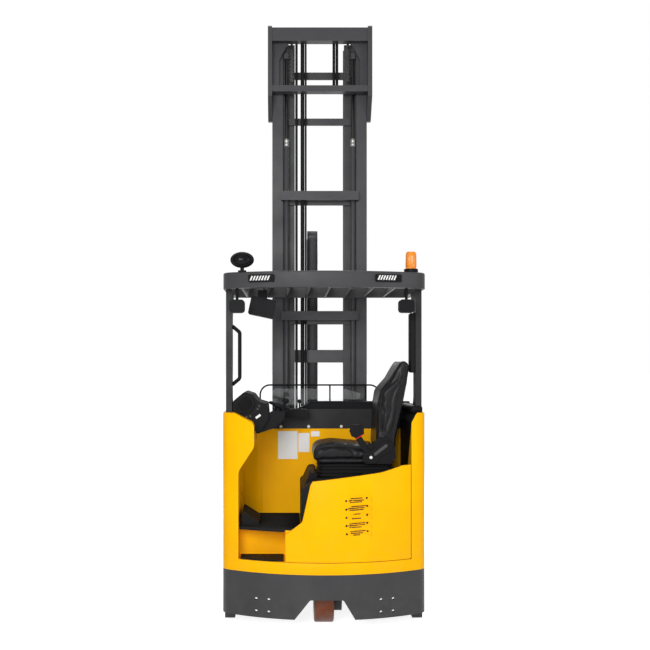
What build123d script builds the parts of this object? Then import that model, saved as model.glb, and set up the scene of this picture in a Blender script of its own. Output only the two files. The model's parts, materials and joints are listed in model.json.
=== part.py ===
from build123d import *
import math
import os

os.makedirs("parts", exist_ok=True)

# A sit-on reach truck, in millimetres: X to the right as seen from behind, Y forward to the forks, Z up.
# The origin is on the floor, in the middle of the truck's box.

# Overall sizes
TRUCK_WIDTH = 1280.0
MAST_HEIGHT = 4050.0
MAST_SETBACK = 1070.0       # rear face of the body to rear face of the mast
FORK_FACE = 352.0           # rear face of the mast to front face of the fork shanks
FORK_LENGTH = 1100.0
LENGTH = MAST_SETBACK + FORK_FACE + FORK_LENGTH
REAR_Y = -LENGTH / 2
HALF = TRUCK_WIDTH / 2

# Plan of the body: a rear arc between straight sides
REAR_ARC_R = 1100.0
REAR_CORNER_R = 90.0
REAR_SAG = REAR_ARC_R - math.sqrt(REAR_ARC_R ** 2 - HALF ** 2)
ROOF_ARC_R = 1500.0

# Levels above the floor
SKIRT_Z0 = 80.0
SKIRT_Z1 = 356.0
SILL_Z1 = 428.0
FLOOR_Z = 622.0
FLOOR_PLATE = 12.0
MAT_T = 8.0
MAT_EDGE = 12.0
SEAT_BOX_Z = 930.0
BULKHEAD_SPLIT_Z = 1206.0
BULKHEAD_Z = 1340.0
WALL_Z = 1340.0
ROOF_Z0 = 2118.0
ROOF_Z1 = 2219.0

# Places along the truck, measured forward from the rear face
BULKHEAD_Y = 740.0
BULKHEAD_T = 30.0
BATTERY_END_Y = 1040.0
STEP_BACK_Y = 290.0
ROOF_FRONT_Y = 980.0

# Widths of the body's parts
LEFT_WALL_X = -HALF + 102.0
RIGHT_WALL_X = HALF - 95.0
COVER_X = LEFT_WALL_X + 295.0
SEAT_BOX_X = COVER_X + 98.0     # left face of the seat box
COVER_T = 22.0
SEAM = 4.0
SKIRT_T = 30.0

# Wheels and legs
DRIVE_R = 171.5
DRIVE_W = 124.0
DRIVE_Y = 300.0
DRIVE_RIM_R = 118.0
DRIVE_BORE_R = 40.0
DRIVE_WELL_R = 195.0
LOAD_R = 142.5
LOAD_W = 86.0
LOAD_Y = 1740.0
LOAD_AXLE_R = 20.0
AXLE_HEAD_T = 4.0
LEG_X1 = HALF - 10.0
LEG_X0 = LEG_X1 - 130.0
LEG_Z0 = 60.0
LEG_FOOT = (65.0, 145.0, 32.0)  # width, length and depth of the pad under the leg's rear end
LEG_Z1 = 300.0
LEG_PLATE = 15.0
LEG_NOSE = 170.0            # load axle to the leg's tip
LEG_REAR_Y = REAR_SAG + 70.0    # where the body's sides are straight
DECK_Z1 = 340.0
DECK_HALF = LEG_X1
FIT = 0.3                   # clearance at a running fit

# Mast sections: places along Y are measured from the mast's rear face
FLANGE_T = 18.0
RAIL_DEPTH = 140.0
STAGE_SHIFT = 26.0
OUTER_X = (262.0, 326.0, 340.0)             # flange edge, web inside, web outside
MIDDLE_X = (224.0, 242.0, 254.0, 316.0)     # inner edge, web, outer edge
INNER_X = (178.0, 206.0, 216.0, 234.0)
RAIL_Z0 = 100.0
BEAM_Z1 = 170.0
STAGE_Z0 = 190.0
MAST_Y = REAR_Y + MAST_SETBACK

# Lift cylinders and forks
LIFT_X = 238.0
LIFT_Y = 1.0
LIFT_BARREL_R = 18.0
LIFT_ROD_R = 12.0
LIFT_BARREL_TOP = MAST_HEIGHT - 783.0
TIE_Z = MAST_HEIGHT - 210.0
TIE_H = 40.0
FREE_X = -50.0
FREE_R = 40.0
FREE_TOP = 2620.0
FORK_X = 240.0
FORK_W = 110.0
FORK_T = 40.0
FORK_POINT = 60.0
FORK_Z0 = 52.0
FORK_SHANK_TOP = 600.0
TILT_Y = 270.0
TILT_Z = 600.0
TILT_PIN_R = 16.0

SIDES = (("left", -1), ("right", 1))


def back(y):
    """Place along Y of a point measured forward from the rear face."""
    return REAR_Y + y


def block(x0, x1, y0, y1, z0, z1):
    """A box between two corners."""
    centre = Pos((x0 + x1) / 2, (y0 + y1) / 2, (z0 + z1) / 2)
    return centre * Box(abs(x1 - x0), abs(y1 - y0), abs(z1 - z0))


def outline(rows):
    """A closed face from rows of (u, v, corner radius)."""
    face = make_face(Polyline(*[(u, v) for u, v, radius in rows], close=True))
    for u, v, radius in rows:
        if radius > 0:
            corner = face.vertices().sort_by_distance((u, v))[0]
            face = fillet(corner, radius)
    return face


def along_y(rows, y0, y1):
    """An outline in X and Z, run from y0 to y1."""
    return Pos(0, y1, 0) * extrude(Plane.XZ * outline(rows), y1 - y0)


def along_x(rows, x0, x1):
    """An outline in Y and Z, run from x0 to x1."""
    return Pos(x0, 0, 0) * extrude(Plane.YZ * outline(rows), x1 - x0)


def along_z(rows, z0, z1):
    """An outline in X and Y, run from z0 to z1."""
    return Pos(0, 0, z0) * extrude(outline(rows), z1 - z0)


def rod_x(x0, x1, y, z, radius):
    """A round bar along X."""
    return Pos((x0 + x1) / 2, y, z) * Rot(0, 90, 0) * Cylinder(radius, abs(x1 - x0))


def rod_y(x, y0, y1, z, radius):
    """A round bar along Y."""
    return Pos(x, (y0 + y1) / 2, z) * Rot(90, 0, 0) * Cylinder(radius, abs(y1 - y0))


def rod_z(x, y, z0, z1, radius):
    """A round bar along Z."""
    return Pos(x, y, (z0 + z1) / 2) * Cylinder(radius, abs(z1 - z0))


def mirrored(shape):
    """The same shape on the other side of the truck."""
    return mirror(shape, about=Plane.YZ)


def both_sides(shape):
    """A right-hand shape and its mirror image, as separate solids."""
    return Compound(children=[shape, mirrored(shape)])


def plan(inset, front, z0, z1, arc_r=REAR_ARC_R):
    """The body's plan, drawn in by an inset, from the rear arc to a front line."""
    half = HALF - inset
    arc = Pos(0, REAR_Y + arc_r) * Circle(arc_r - inset)
    length = front + 1
    strip = Pos(0, REAR_Y - 1 + length / 2) * Rectangle(2 * half, length)
    face = arc & strip
    corners = face.vertices().sort_by(Axis.Y)[:2]
    face = fillet(corners, REAR_CORNER_R - inset)
    return Pos(0, 0, z0) * extrude(face, z1 - z0)


def drive_well(z0, z1):
    """Round well in which the drive unit turns."""
    return rod_z(0, back(DRIVE_Y), z0 - 1, z1 + 1, DRIVE_WELL_R)


def save(name, shape):
    """Writes one piece."""
    export_step(shape, f"parts/{name}.step")


# Skirt: the dark plate round the rear, with the drive wheel's cut-out and the two bolt patterns
CUT_TOP = 122.0
CUT_X = (-195.0, -92.0, 112.0, 190.0)
BOLT_X = 385.0
BOLT_Z = 156.0
BOLT_DX = 78.0
BOLT_DZ = 76.0
BOLT_R = 9.0


def skirt():
    shell = plan(0, LEG_REAR_Y, SKIRT_Z0, SKIRT_Z1) - plan(SKIRT_T, LEG_REAR_Y + 1, SKIRT_Z0 - 1, SKIRT_Z1 + 1)
    cut_z = SKIRT_Z0 + CUT_TOP
    cut = along_y(
        (
            (CUT_X[0], SKIRT_Z0 - 10, 0),
            (CUT_X[1], cut_z, 20),
            (CUT_X[2], cut_z, 20),
            (CUT_X[3], SKIRT_Z0 - 10, 0),
        ),
        back(-10),
        back(LEG_REAR_Y),
    )
    shell = shell - cut
    for side, sign in SIDES:
        for dx in (-1, 1):
            for dz in (-1, 1):
                x = sign * BOLT_X + dx * BOLT_DX / 2
                z = BOLT_Z + dz * BOLT_DZ / 2
                shell = shell - rod_y(x, back(-10), back(LEG_REAR_Y), z, BOLT_R)
    return shell


def deck():
    """Plate that carries the body and the battery, open over the drive wheel."""
    rear = plan(SKIRT_T + FIT, LEG_REAR_Y, LEG_Z1, SKIRT_Z1)
    front = block(-DECK_HALF, DECK_HALF, back(LEG_REAR_Y), back(BATTERY_END_Y), LEG_Z1, DECK_Z1)
    middle = block(-DECK_HALF, DECK_HALF, back(LEG_REAR_Y), back(BULKHEAD_Y), DECK_Z1, SKIRT_Z1)
    return rear + front + middle - drive_well(LEG_Z1, SKIRT_Z1)


# Support legs: box beams with an inner track for the reach rollers and a pocket for the load wheel
TRACK_DEPTH = 62.0
TRACK_Z = (100.0, 220.0)
TRACK_Y0 = 700.0
POCKET_HALF = LOAD_R + 14.0


def leg():
    rows = (
        (back(LEG_REAR_Y), LEG_Z0, 0),
        (back(LOAD_Y + LEG_NOSE), LEG_Z0, 30),
        (back(LOAD_Y + LEG_NOSE), LOAD_R + 40, 40),
        (back(LOAD_Y - POCKET_HALF), LEG_Z1 - 30, 60),
        (back(BATTERY_END_Y + 60), LEG_Z1, 60),
        (back(LEG_REAR_Y), LEG_Z1, 0),
    )
    beam = along_x(rows, LEG_X0, LEG_X1)
    track_end = back(LOAD_Y - POCKET_HALF - LEG_PLATE)
    track = block(LEG_X0 - 1, LEG_X0 + TRACK_DEPTH, back(TRACK_Y0), track_end, TRACK_Z[0], TRACK_Z[1])
    pocket = block(
        LEG_X0 + LEG_PLATE,
        LEG_X1 - LEG_PLATE,
        back(LOAD_Y - POCKET_HALF),
        back(LOAD_Y + LEG_NOSE + 1),
        LEG_Z0 - 1,
        LEG_Z1 + 1,
    )
    bore = rod_x(LEG_X0 - 1, LEG_X1 + 1, back(LOAD_Y), LOAD_R, LOAD_AXLE_R + FIT)
    width, length, depth = LEG_FOOT
    foot = block(
        LEG_X1 - width, LEG_X1, back(LEG_REAR_Y), back(LEG_REAR_Y + length), LEG_Z0 - depth, LEG_Z0
    )
    return beam + foot - track - pocket - bore


def load_axle():
    pin = rod_x(LEG_X0, LEG_X1, back(LOAD_Y), LOAD_R, LOAD_AXLE_R)
    head = rod_x(LEG_X1, LEG_X1 + AXLE_HEAD_T, back(LOAD_Y), LOAD_R, LOAD_AXLE_R + 10)
    return pin + head


def load_wheel():
    centre = (LEG_X0 + LEG_X1) / 2
    x0 = centre - LOAD_W / 2
    x1 = centre + LOAD_W / 2
    wheel = rod_x(x0, x1, back(LOAD_Y), LOAD_R, LOAD_R)
    wheel = fillet(wheel.edges().filter_by(GeomType.CIRCLE), 8)
    recess_depth = 10.0
    hub_r = LOAD_R - 45
    for face_x, inward in ((x0, 1), (x1, -1)):
        wheel = wheel - rod_x(face_x - inward, face_x + inward * recess_depth, back(LOAD_Y), LOAD_R, hub_r)
    hub = rod_x(x0 - 5, x1 + 5, back(LOAD_Y), LOAD_R, LOAD_AXLE_R + 16)
    return wheel + hub - rod_x(x0 - 6, x1 + 6, back(LOAD_Y), LOAD_R, LOAD_AXLE_R + FIT)


# Drive unit: slewing flange under the seat box, gearbox on the right, the wheel on its stub axle
GEAR_X = (68.0, 114.0)
GEAR_HALF = 90.0
GEAR_DROP = 95.0            # gearbox foot below the axle
SLEW_R = 180.0
SLEW_T = 42.0


def drive_unit():
    slew_z = SILL_Z1 - FIT - SLEW_T
    flange = rod_z(0, back(DRIVE_Y), slew_z, SILL_Z1 - FIT, SLEW_R)
    gearbox_rows = (
        (back(DRIVE_Y - GEAR_HALF), slew_z, 0),
        (back(DRIVE_Y - GEAR_HALF), DRIVE_R - 20, 60),
        (back(DRIVE_Y - GEAR_HALF / 2), DRIVE_R - GEAR_DROP, 40),
        (back(DRIVE_Y + GEAR_HALF / 2), DRIVE_R - GEAR_DROP, 40),
        (back(DRIVE_Y + GEAR_HALF), DRIVE_R - 20, 60),
        (back(DRIVE_Y + GEAR_HALF), slew_z, 0),
    )
    gearbox = along_x(gearbox_rows, GEAR_X[0], GEAR_X[1])
    axle = rod_x(-DRIVE_W / 2 + 10, GEAR_X[0] + 1, back(DRIVE_Y), DRIVE_R, DRIVE_BORE_R - FIT)
    return flange + gearbox + axle


def drive_wheel_parts():
    """Hub with bolt circle, and the tyre pressed on it."""
    x0 = -DRIVE_W / 2
    x1 = DRIVE_W / 2
    tyre = rod_x(x0, x1, back(DRIVE_Y), DRIVE_R, DRIVE_R)
    tyre = fillet(tyre.edges().filter_by(GeomType.CIRCLE), 12)
    tyre = tyre - rod_x(x0 - 1, x1 + 1, back(DRIVE_Y), DRIVE_R, DRIVE_RIM_R)
    hub = rod_x(x0 + 6, x1 - 6, back(DRIVE_Y), DRIVE_R, DRIVE_RIM_R)
    hub = hub - rod_x(x0, x0 + 40, back(DRIVE_Y), DRIVE_R, DRIVE_RIM_R - 16)
    hub = hub - rod_x(x0, x1, back(DRIVE_Y), DRIVE_R, DRIVE_BORE_R)
    return hub, tyre


# Body: sill, two walls, rear cover, seat box, floor, bulkhead, battery and hood
COVER_ROWS = (              # X, Z, corner radius of the rear cover's outline
    (COVER_X, SILL_Z1 + SEAM, 10),
    (COVER_X, FLOOR_Z - 25, 20),
    (COVER_X + 103, FLOOR_Z + 55, 40),
    (COVER_X + 152, SEAT_BOX_Z - 28, 0),
    (COVER_X + 166, SEAT_BOX_Z - 4, 0),
    (RIGHT_WALL_X - 202, SEAT_BOX_Z + 46, 60),
    (RIGHT_WALL_X - 134, SEAT_BOX_Z + 63, 30),
    (RIGHT_WALL_X - 60, SEAT_BOX_Z + 85, 30),
    (RIGHT_WALL_X - SEAM, SEAT_BOX_Z + 88, 0),
    (RIGHT_WALL_X - SEAM, SILL_Z1 + SEAM, 10),
)
VENT_X = 220.0
VENT_Z = (832.0, 775.0, 723.0, 672.0, 620.0)
VENT_W = 142.0
VENT_H = 26.0
VENT_DEPTH = 6.0


def sill():
    """Base plate of the yellow body; its left rear part is the step."""
    plate = plan(0, BULKHEAD_Y, SKIRT_Z1, SILL_Z1)
    return plate - drive_well(SKIRT_Z1, SILL_Z1)


WALL_CORNER_R = 135.0       # hollow corner between the left wall and the bulkhead


def left_wall():
    """Wall with a widened head, and a hollow corner towards the bulkhead."""
    rows = (
        (-HALF - 1, SILL_Z1, 0),
        (-HALF - 1, WALL_Z, 0),
        (LEFT_WALL_X - 26, WALL_Z, 60),
        (LEFT_WALL_X + 98, WALL_Z - 62, 42),
        (LEFT_WALL_X + 100, WALL_Z - 210, 60),
        (LEFT_WALL_X, WALL_Z - 365, 60),
        (LEFT_WALL_X, SILL_Z1, 0),
    )
    wall = along_y(rows, back(-1), back(BULKHEAD_Y)) & plan(0, BULKHEAD_Y, SILL_Z1, WALL_Z)
    x1 = LEFT_WALL_X + WALL_CORNER_R
    y0 = back(BULKHEAD_Y) - WALL_CORNER_R
    z0 = FLOOR_Z + MAT_T
    z1 = WALL_Z - 150
    corner = block(LEFT_WALL_X - 10, x1, y0, back(BULKHEAD_Y), z0, z1)
    corner = corner - rod_z(x1 + SEAM, y0 - SEAM, z0 - 1, z1 + 1, WALL_CORNER_R)
    return wall + corner


def right_wall():
    rows = (
        (HALF + 1, SILL_Z1, 0),
        (HALF + 1, WALL_Z, 0),
        (RIGHT_WALL_X + 35, WALL_Z, 20),
        (RIGHT_WALL_X, WALL_Z - 60, 20),
        (RIGHT_WALL_X, SILL_Z1, 0),
    )
    return along_y(rows, back(-1), back(BULKHEAD_Y)) & plan(0, BULKHEAD_Y, SILL_Z1, WALL_Z)


def vent(z):
    """Pocket of one arched group of perforations."""
    big_r = VENT_W
    high = Pos(VENT_X, z - big_r + VENT_H / 2) * Circle(big_r)
    low = Pos(VENT_X, z - big_r - VENT_H / 2) * Circle(big_r)
    strip = Pos(VENT_X, z) * Rectangle(VENT_W, 4 * VENT_H)
    return (high - low) & strip


def rear_cover():
    cover = along_y(COVER_ROWS, back(-1), back(BULKHEAD_Y))
    shell = plan(0, BULKHEAD_Y, SILL_Z1, WALL_Z) - plan(COVER_T, BULKHEAD_Y + 1, SILL_Z1 - 1, WALL_Z + 1)
    cover = cover & shell & block(-HALF, HALF, back(-1), back(LEG_REAR_Y), SILL_Z1, WALL_Z)
    deep = plan(VENT_DEPTH, BULKHEAD_Y, SILL_Z1, WALL_Z)
    skin = plan(-1, BULKHEAD_Y, SILL_Z1, WALL_Z) - deep
    for z in VENT_Z:
        pocket = Pos(0, back(LEG_REAR_Y), 0) * extrude(Plane.XZ * vent(z), LEG_REAR_Y + 10)
        cover = cover - (pocket & skin)
    return cover


def seat_box():
    """Box under the seat; its left face is the footwell's side."""
    rows = (
        (SEAT_BOX_X, SILL_Z1, 0),
        (SEAT_BOX_X, SEAT_BOX_Z - 60, 20),
        *COVER_ROWS[4:-1],
        (RIGHT_WALL_X - SEAM, SILL_Z1, 0),
    )
    inner = plan(COVER_T, BULKHEAD_Y, SILL_Z1, WALL_Z)
    box_part = along_y(rows, back(-1), back(BULKHEAD_Y)) & inner
    level = block(-HALF, RIGHT_WALL_X - SEAM, back(SEAT_PAN_Y), back(BULKHEAD_Y), SEAT_BOX_Z, WALL_Z)
    shroud_rows = (
        (SEAT_BOX_X + 22, SEAT_BOX_Z - 40, 0),
        (SEAT_BOX_X + 55, SEAT_BOX_Z + 30, 20),
        (SEAT_BOX_X + 98, SEAT_BOX_Z + 34, 10),
        (SEAT_BOX_X + 98, SEAT_BOX_Z - 40, 0),
    )
    shroud = along_y(shroud_rows, back(SEAT_PAN_Y + 20), back(BULKHEAD_Y))
    rest = block(RIGHT_WALL_X - SEAM, RIGHT_WALL_X, back(LEG_REAR_Y), back(BULKHEAD_Y), SILL_Z1, SEAT_BOX_Z)
    return box_part - level + rest + shroud


FLOOR_INSET = COVER_T + SEAM     # body's rear face to the floor mat's nosing


def floor_box():
    """Floor of the operator's place, overhanging the step, with the step's side on the right."""
    rows = (
        (back(BULKHEAD_Y), SILL_Z1, 0),
        (back(STEP_BACK_Y), SILL_Z1, 0),
        (back(STEP_BACK_Y), FLOOR_Z - FLOOR_PLATE, 20),
        (back(0), FLOOR_Z - FLOOR_PLATE, 0),
        (back(0), FLOOR_Z, 0),
        (back(BULKHEAD_Y), FLOOR_Z, 0),
    )
    floor = along_x(rows, LEFT_WALL_X, SEAT_BOX_X) & plan(FLOOR_INSET + MAT_T, BULKHEAD_Y, SILL_Z1, FLOOR_Z)
    side = block(COVER_X, SEAT_BOX_X, back(0), back(STEP_BACK_Y), SILL_Z1, FLOOR_Z)
    return floor + (side & plan(COVER_T, BULKHEAD_Y, SILL_Z1, FLOOR_Z))


def mats():
    """Rubber mats on the step and on the floor, the floor's with a nosing over the edge."""
    step = block(
        LEFT_WALL_X + MAT_EDGE,
        COVER_X - MAT_EDGE,
        back(SKIRT_T + 30),
        back(STEP_BACK_Y - MAT_EDGE),
        SILL_Z1,
        SILL_Z1 + MAT_T,
    )
    step = step & plan(MAT_EDGE, BULKHEAD_Y, SILL_Z1, SILL_Z1 + MAT_T)
    low = FLOOR_Z - FLOOR_PLATE
    floor = block(LEFT_WALL_X + SEAM, SEAT_BOX_X - SEAM, back(0), back(BULKHEAD_Y - SEAM), FLOOR_Z, FLOOR_Z + MAT_T)
    nosing = block(LEFT_WALL_X + SEAM, COVER_X - SEAM, back(0), back(STEP_BACK_Y), low, FLOOR_Z)
    nosing = nosing - plan(FLOOR_INSET + MAT_T, BULKHEAD_Y, low - 1, FLOOR_Z)
    floor = (floor + nosing) & plan(FLOOR_INSET, BULKHEAD_Y, low, FLOOR_Z + MAT_T)
    return Compound(children=[step, floor])


# Pedals: distance from the rear face, width along Y
PEDALS = ((220.0, 90.0), (335.0, 90.0), (450.0, 140.0))
PEDAL_X = (LEFT_WALL_X + 17, LEFT_WALL_X + 127)
PEDAL_RISE = 84.0


def pedals():
    """Sloped pedal plates at the foot of the left wall."""
    plates = []
    for y, width in PEDALS:
        rows = (
            (PEDAL_X[0], FLOOR_Z + MAT_T, 0),
            (PEDAL_X[0], FLOOR_Z + MAT_T + PEDAL_RISE, 6),
            (PEDAL_X[1], FLOOR_Z + MAT_T + 14, 6),
            (PEDAL_X[1], FLOOR_Z + MAT_T, 0),
        )
        plates.append(along_y(rows, back(y), back(y + width)))
    return Compound(children=plates)


BULKHEAD_STEP_Z = BULKHEAD_Z - 40.0
BULKHEAD_STEP_X = (-225.0, -62.0)


def bulkhead_lower():
    y0 = back(BULKHEAD_Y)
    return block(-DECK_HALF, DECK_HALF, y0, y0 + BULKHEAD_T, DECK_Z1, BULKHEAD_SPLIT_Z)


def bulkhead_upper():
    """Dark panel across the top of the bulkhead."""
    rows = (
        (-DECK_HALF, BULKHEAD_SPLIT_Z, 0),
        (-DECK_HALF, BULKHEAD_STEP_Z, 30),
        (BULKHEAD_STEP_X[0], BULKHEAD_STEP_Z, 60),
        (BULKHEAD_STEP_X[1], BULKHEAD_Z, 60),
        (DECK_HALF, BULKHEAD_Z, 30),
        (DECK_HALF, BULKHEAD_SPLIT_Z, 0),
    )
    return along_y(rows, back(BULKHEAD_Y), back(BULKHEAD_Y) + BULKHEAD_T)


BATTERY_Z1 = 1120.0
HOOD_HALF = HALF - 28.0
BATTERY_HALF = HOOD_HALF - 7.0
HOOD_Z1 = 1392.0


def battery():
    """Steel trough of the traction battery, with lifting eyes cut in its end walls."""
    trough = block(
        -BATTERY_HALF,
        BATTERY_HALF,
        back(BULKHEAD_Y + BULKHEAD_T),
        back(BATTERY_END_Y),
        DECK_Z1,
        BATTERY_Z1,
    )
    trough = fillet(trough.edges().filter_by(Axis.Z), 10)
    for side, sign in SIDES:
        y = back(BATTERY_END_Y) - 140
        eye = rod_x(sign * BATTERY_HALF, sign * (BATTERY_HALF - 20), y, BATTERY_Z1 - 70, 26)
        trough = trough - eye
    return trough


def hood():
    """Cover over the battery, sloping down towards the mast."""
    y0 = back(BULKHEAD_Y + BULKHEAD_T)
    y1 = back(BATTERY_END_Y)
    rows = (
        (y0, BATTERY_Z1, 0),
        (y0, HOOD_Z1, 20),
        (y0 + 90, HOOD_Z1, 40),
        (y1, HOOD_Z1 - 142, 60),
        (y1, BATTERY_Z1, 0),
    )
    body = along_x(rows, -HOOD_HALF, HOOD_HALF)
    dip_rows = (
        (-HOOD_HALF - 1, BULKHEAD_STEP_Z, 0),
        (BULKHEAD_STEP_X[0], BULKHEAD_STEP_Z, 60),
        (BULKHEAD_STEP_X[1], HOOD_Z1 + 1, 60),
        (BULKHEAD_STEP_X[1], HOOD_Z1 + 60, 0),
        (-HOOD_HALF - 1, HOOD_Z1 + 60, 0),
    )
    return body - along_y(dip_rows, y0 - 1, y1 + 1)


# Seat, facing left: X from the line where cushion and back meet, Y from the rear face
SEAT_X = RIGHT_WALL_X - 165.0
SEAT_Y = (190.0, 650.0)
SEAT_PAN_Y = 150.0
BELLOWS_X = (SEAT_X - 403, SEAT_X + 45)
CUSHION_Z = (1016.0, 1149.0)
BELLOWS_FOLDS = 3


def seat_bellows():
    """Folded rubber skirt of the seat suspension."""
    step = (CUSHION_Z[0] - SEAT_BOX_Z) / BELLOWS_FOLDS
    x0, x1 = BELLOWS_X
    rows = [(x0, SEAT_BOX_Z, 0)]
    for fold in range(BELLOWS_FOLDS):
        rows.append((x0 - 14, SEAT_BOX_Z + (fold + 0.5) * step, 0))
        rows.append((x0, SEAT_BOX_Z + (fold + 1) * step, 0))
    rows.append((x1, CUSHION_Z[0], 0))
    for fold in reversed(range(BELLOWS_FOLDS)):
        rows.append((x1 + 14, SEAT_BOX_Z + (fold + 0.5) * step, 0))
        rows.append((x1, SEAT_BOX_Z + fold * step, 0))
    return along_y(rows, back(SEAT_Y[0] + 25), back(SEAT_Y[1] - 25))


def seat_cushion():
    rows = (
        (SEAT_X - 453, CUSHION_Z[0] + 30, 25),
        (SEAT_X - 448, CUSHION_Z[1] - 18, 45),
        (SEAT_X - 320, CUSHION_Z[1], 80),
        (SEAT_X - 50, CUSHION_Z[1] - 25, 0),
        (SEAT_X, CUSHION_Z[0], 0),
        (SEAT_X - 400, CUSHION_Z[0], 30),
    )
    pad = along_y(rows, back(SEAT_Y[0]), back(SEAT_Y[1]))
    ends = pad.faces().filter_by(Axis.Y)
    return fillet(ends[0].edges() + ends[1].edges(), 12)


def seat_back():
    rows = (
        (SEAT_X + 1, CUSHION_Z[0] + 8, 10),
        (SEAT_X - 49, CUSHION_Z[1] - 20, 0),
        (SEAT_X - 36, CUSHION_Z[1] + 250, 60),
        (SEAT_X - 22, CUSHION_Z[1] + 330, 50),
        (SEAT_X + 47, CUSHION_Z[1] + 411, 60),
        (SEAT_X + 88, CUSHION_Z[1] + 480, 40),
        (SEAT_X + 120, CUSHION_Z[1] + 528, 14),
        (SEAT_X + 157, CUSHION_Z[1] + 504, 14),
        (SEAT_X + 142, CUSHION_Z[1] + 378, 100),
        (SEAT_X + 110, CUSHION_Z[1] + 208, 100),
        (SEAT_X + 72, CUSHION_Z[1] + 31, 60),
        (SEAT_X + 60, CUSHION_Z[0] + 8, 30),
    )
    pad = along_y(rows, back(SEAT_Y[0]), back(SEAT_Y[1]))
    ends = pad.faces().filter_by(Axis.Y)
    return fillet(ends[0].edges() + ends[1].edges(), 8)


RECLINER_T = 26.0


def seat_recliner():
    """Plastic side cover of the recliner, with the belt buckle beside it."""
    rows = (
        (SEAT_X - 132, CUSHION_Z[0] + 4, 20),
        (SEAT_X - 128, CUSHION_Z[0] + 74, 40),
        (SEAT_X - 35, CUSHION_Z[0] + 171, 60),
        (SEAT_X + 50, CUSHION_Z[0] + 171, 60),
        (SEAT_X + 74, CUSHION_Z[0] + 44, 40),
        (SEAT_X + 40, CUSHION_Z[0] + 4, 20),
    )
    y1 = back(SEAT_Y[0])
    cover = along_y(rows, y1 - RECLINER_T, y1)
    stalk_rows = (
        (SEAT_X - 85, CUSHION_Z[0] + 84, 0),
        (SEAT_X - 175, CUSHION_Z[0] + 219, 10),
        (SEAT_X - 210, CUSHION_Z[0] + 202, 10),
        (SEAT_X - 115, CUSHION_Z[0] + 59, 0),
    )
    return cover + along_y(stalk_rows, y1 - 22, y1 - 2)


# Dash on the left wall, and the column of the steering wheel
STEER_X = LEFT_WALL_X + 255.0
STEER_Y = 330.0
STEER_Z = WALL_Z + 39.0
STEER_TILT = 20.0
STEER_R = 72.0
STEER_TUBE_R = 9.0
COLUMN_R = 24.0
COLUMN_H = 60.0
ARM_HALF = 48.0
BOSS_DROP = 15.0           # rim's plane to the column's top
BOSS_H = 18.0
KNOB_TURN = -65.0


def dash():
    """Dash on the wall's head, with the arm that carries the steering column."""
    rows = (
        (LEFT_WALL_X - 40, WALL_Z, 0),
        (LEFT_WALL_X - 40, WALL_Z + 70, 25),
        (LEFT_WALL_X + 33, WALL_Z + 131, 24),
        (LEFT_WALL_X + 90, WALL_Z + 112, 24),
        (LEFT_WALL_X + 120, WALL_Z + 70, 20),
        (LEFT_WALL_X + 180, WALL_Z + 52, 12),
        (LEFT_WALL_X + 188, WALL_Z - 40, 30),
        (LEFT_WALL_X + 130, WALL_Z - 130, 20),
        (LEFT_WALL_X + 68, WALL_Z - 100, 0),
        (LEFT_WALL_X - 2, WALL_Z - 40, 0),
    )
    body = along_y(rows, back(LEG_REAR_Y - 30), back(BULKHEAD_Y - 10))
    arm_rows = (
        (LEFT_WALL_X + 212, WALL_Z + 6, 6),
        (LEFT_WALL_X + 292, WALL_Z + 6, 6),
        (LEFT_WALL_X + 288, WALL_Z - 47, 30),
        (LEFT_WALL_X + 212, WALL_Z - 106, 40),
        (LEFT_WALL_X + 106, WALL_Z - 142, 10),
        (LEFT_WALL_X + 106, WALL_Z - 60, 0),
    )
    arm = along_y(arm_rows, back(STEER_Y) - ARM_HALF, back(STEER_Y) + ARM_HALF)
    tilt = Pos(STEER_X, back(STEER_Y), STEER_Z) * Rot(0, STEER_TILT, 0)
    column = tilt * Pos(0, 0, -BOSS_DROP - COLUMN_H / 2) * Cylinder(COLUMN_R, COLUMN_H)
    return body + arm + column - left_wall()


def steering_wheel():
    """Small wheel with three spokes and a spinner knob, tilted towards the seat."""
    tilt = Pos(STEER_X, back(STEER_Y), STEER_Z) * Rot(0, STEER_TILT, 0)
    rim = Torus(STEER_R - STEER_TUBE_R, STEER_TUBE_R)
    boss = Pos(0, 0, -BOSS_DROP + FIT + BOSS_H / 2) * Cylinder(22, BOSS_H)
    wheel = rim + boss
    for spoke in range(3):
        turn = Rot(0, 0, 120 * spoke)
        wheel = wheel + turn * Pos((STEER_R - STEER_TUBE_R) / 2, 0, 0) * Box(STEER_R - STEER_TUBE_R, 14, 7)
    knob_x = STEER_R - STEER_TUBE_R
    wheel = wheel + Pos(knob_x, 0, 18) * Cylinder(6, 30) + Pos(knob_x, 0, 44) * Cylinder(18, 26)
    return tilt * Rot(0, 0, KNOB_TURN) * wheel


CONSOLE_X = (-330.0, -90.0)
CONSOLE_Y = 560.0
CONSOLE_Z = (WALL_Z - 50, WALL_Z + 5)
LEVER_X = -150.0
LEVER_Y = (600.0, 632.0, 664.0, 696.0)
LEVER_STEM = 40.0
LEVER_KNOB_R = 13.0


def lever_console():
    """Hydraulic levers on the hood's edge beside the dash."""
    z0, z1 = CONSOLE_Z
    base = block(CONSOLE_X[0], CONSOLE_X[1], back(CONSOLE_Y), back(BULKHEAD_Y), z0, z1)
    base = fillet(base.edges().filter_by(Axis.Y), 20)
    for y in LEVER_Y:
        stem = rod_z(LEVER_X, back(y), z1 - 1, z1 + LEVER_STEM, 5)
        knob = Pos(LEVER_X, back(y), z1 + LEVER_STEM + LEVER_KNOB_R - 2) * Sphere(LEVER_KNOB_R)
        base = base + stem + knob
    return base


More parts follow.
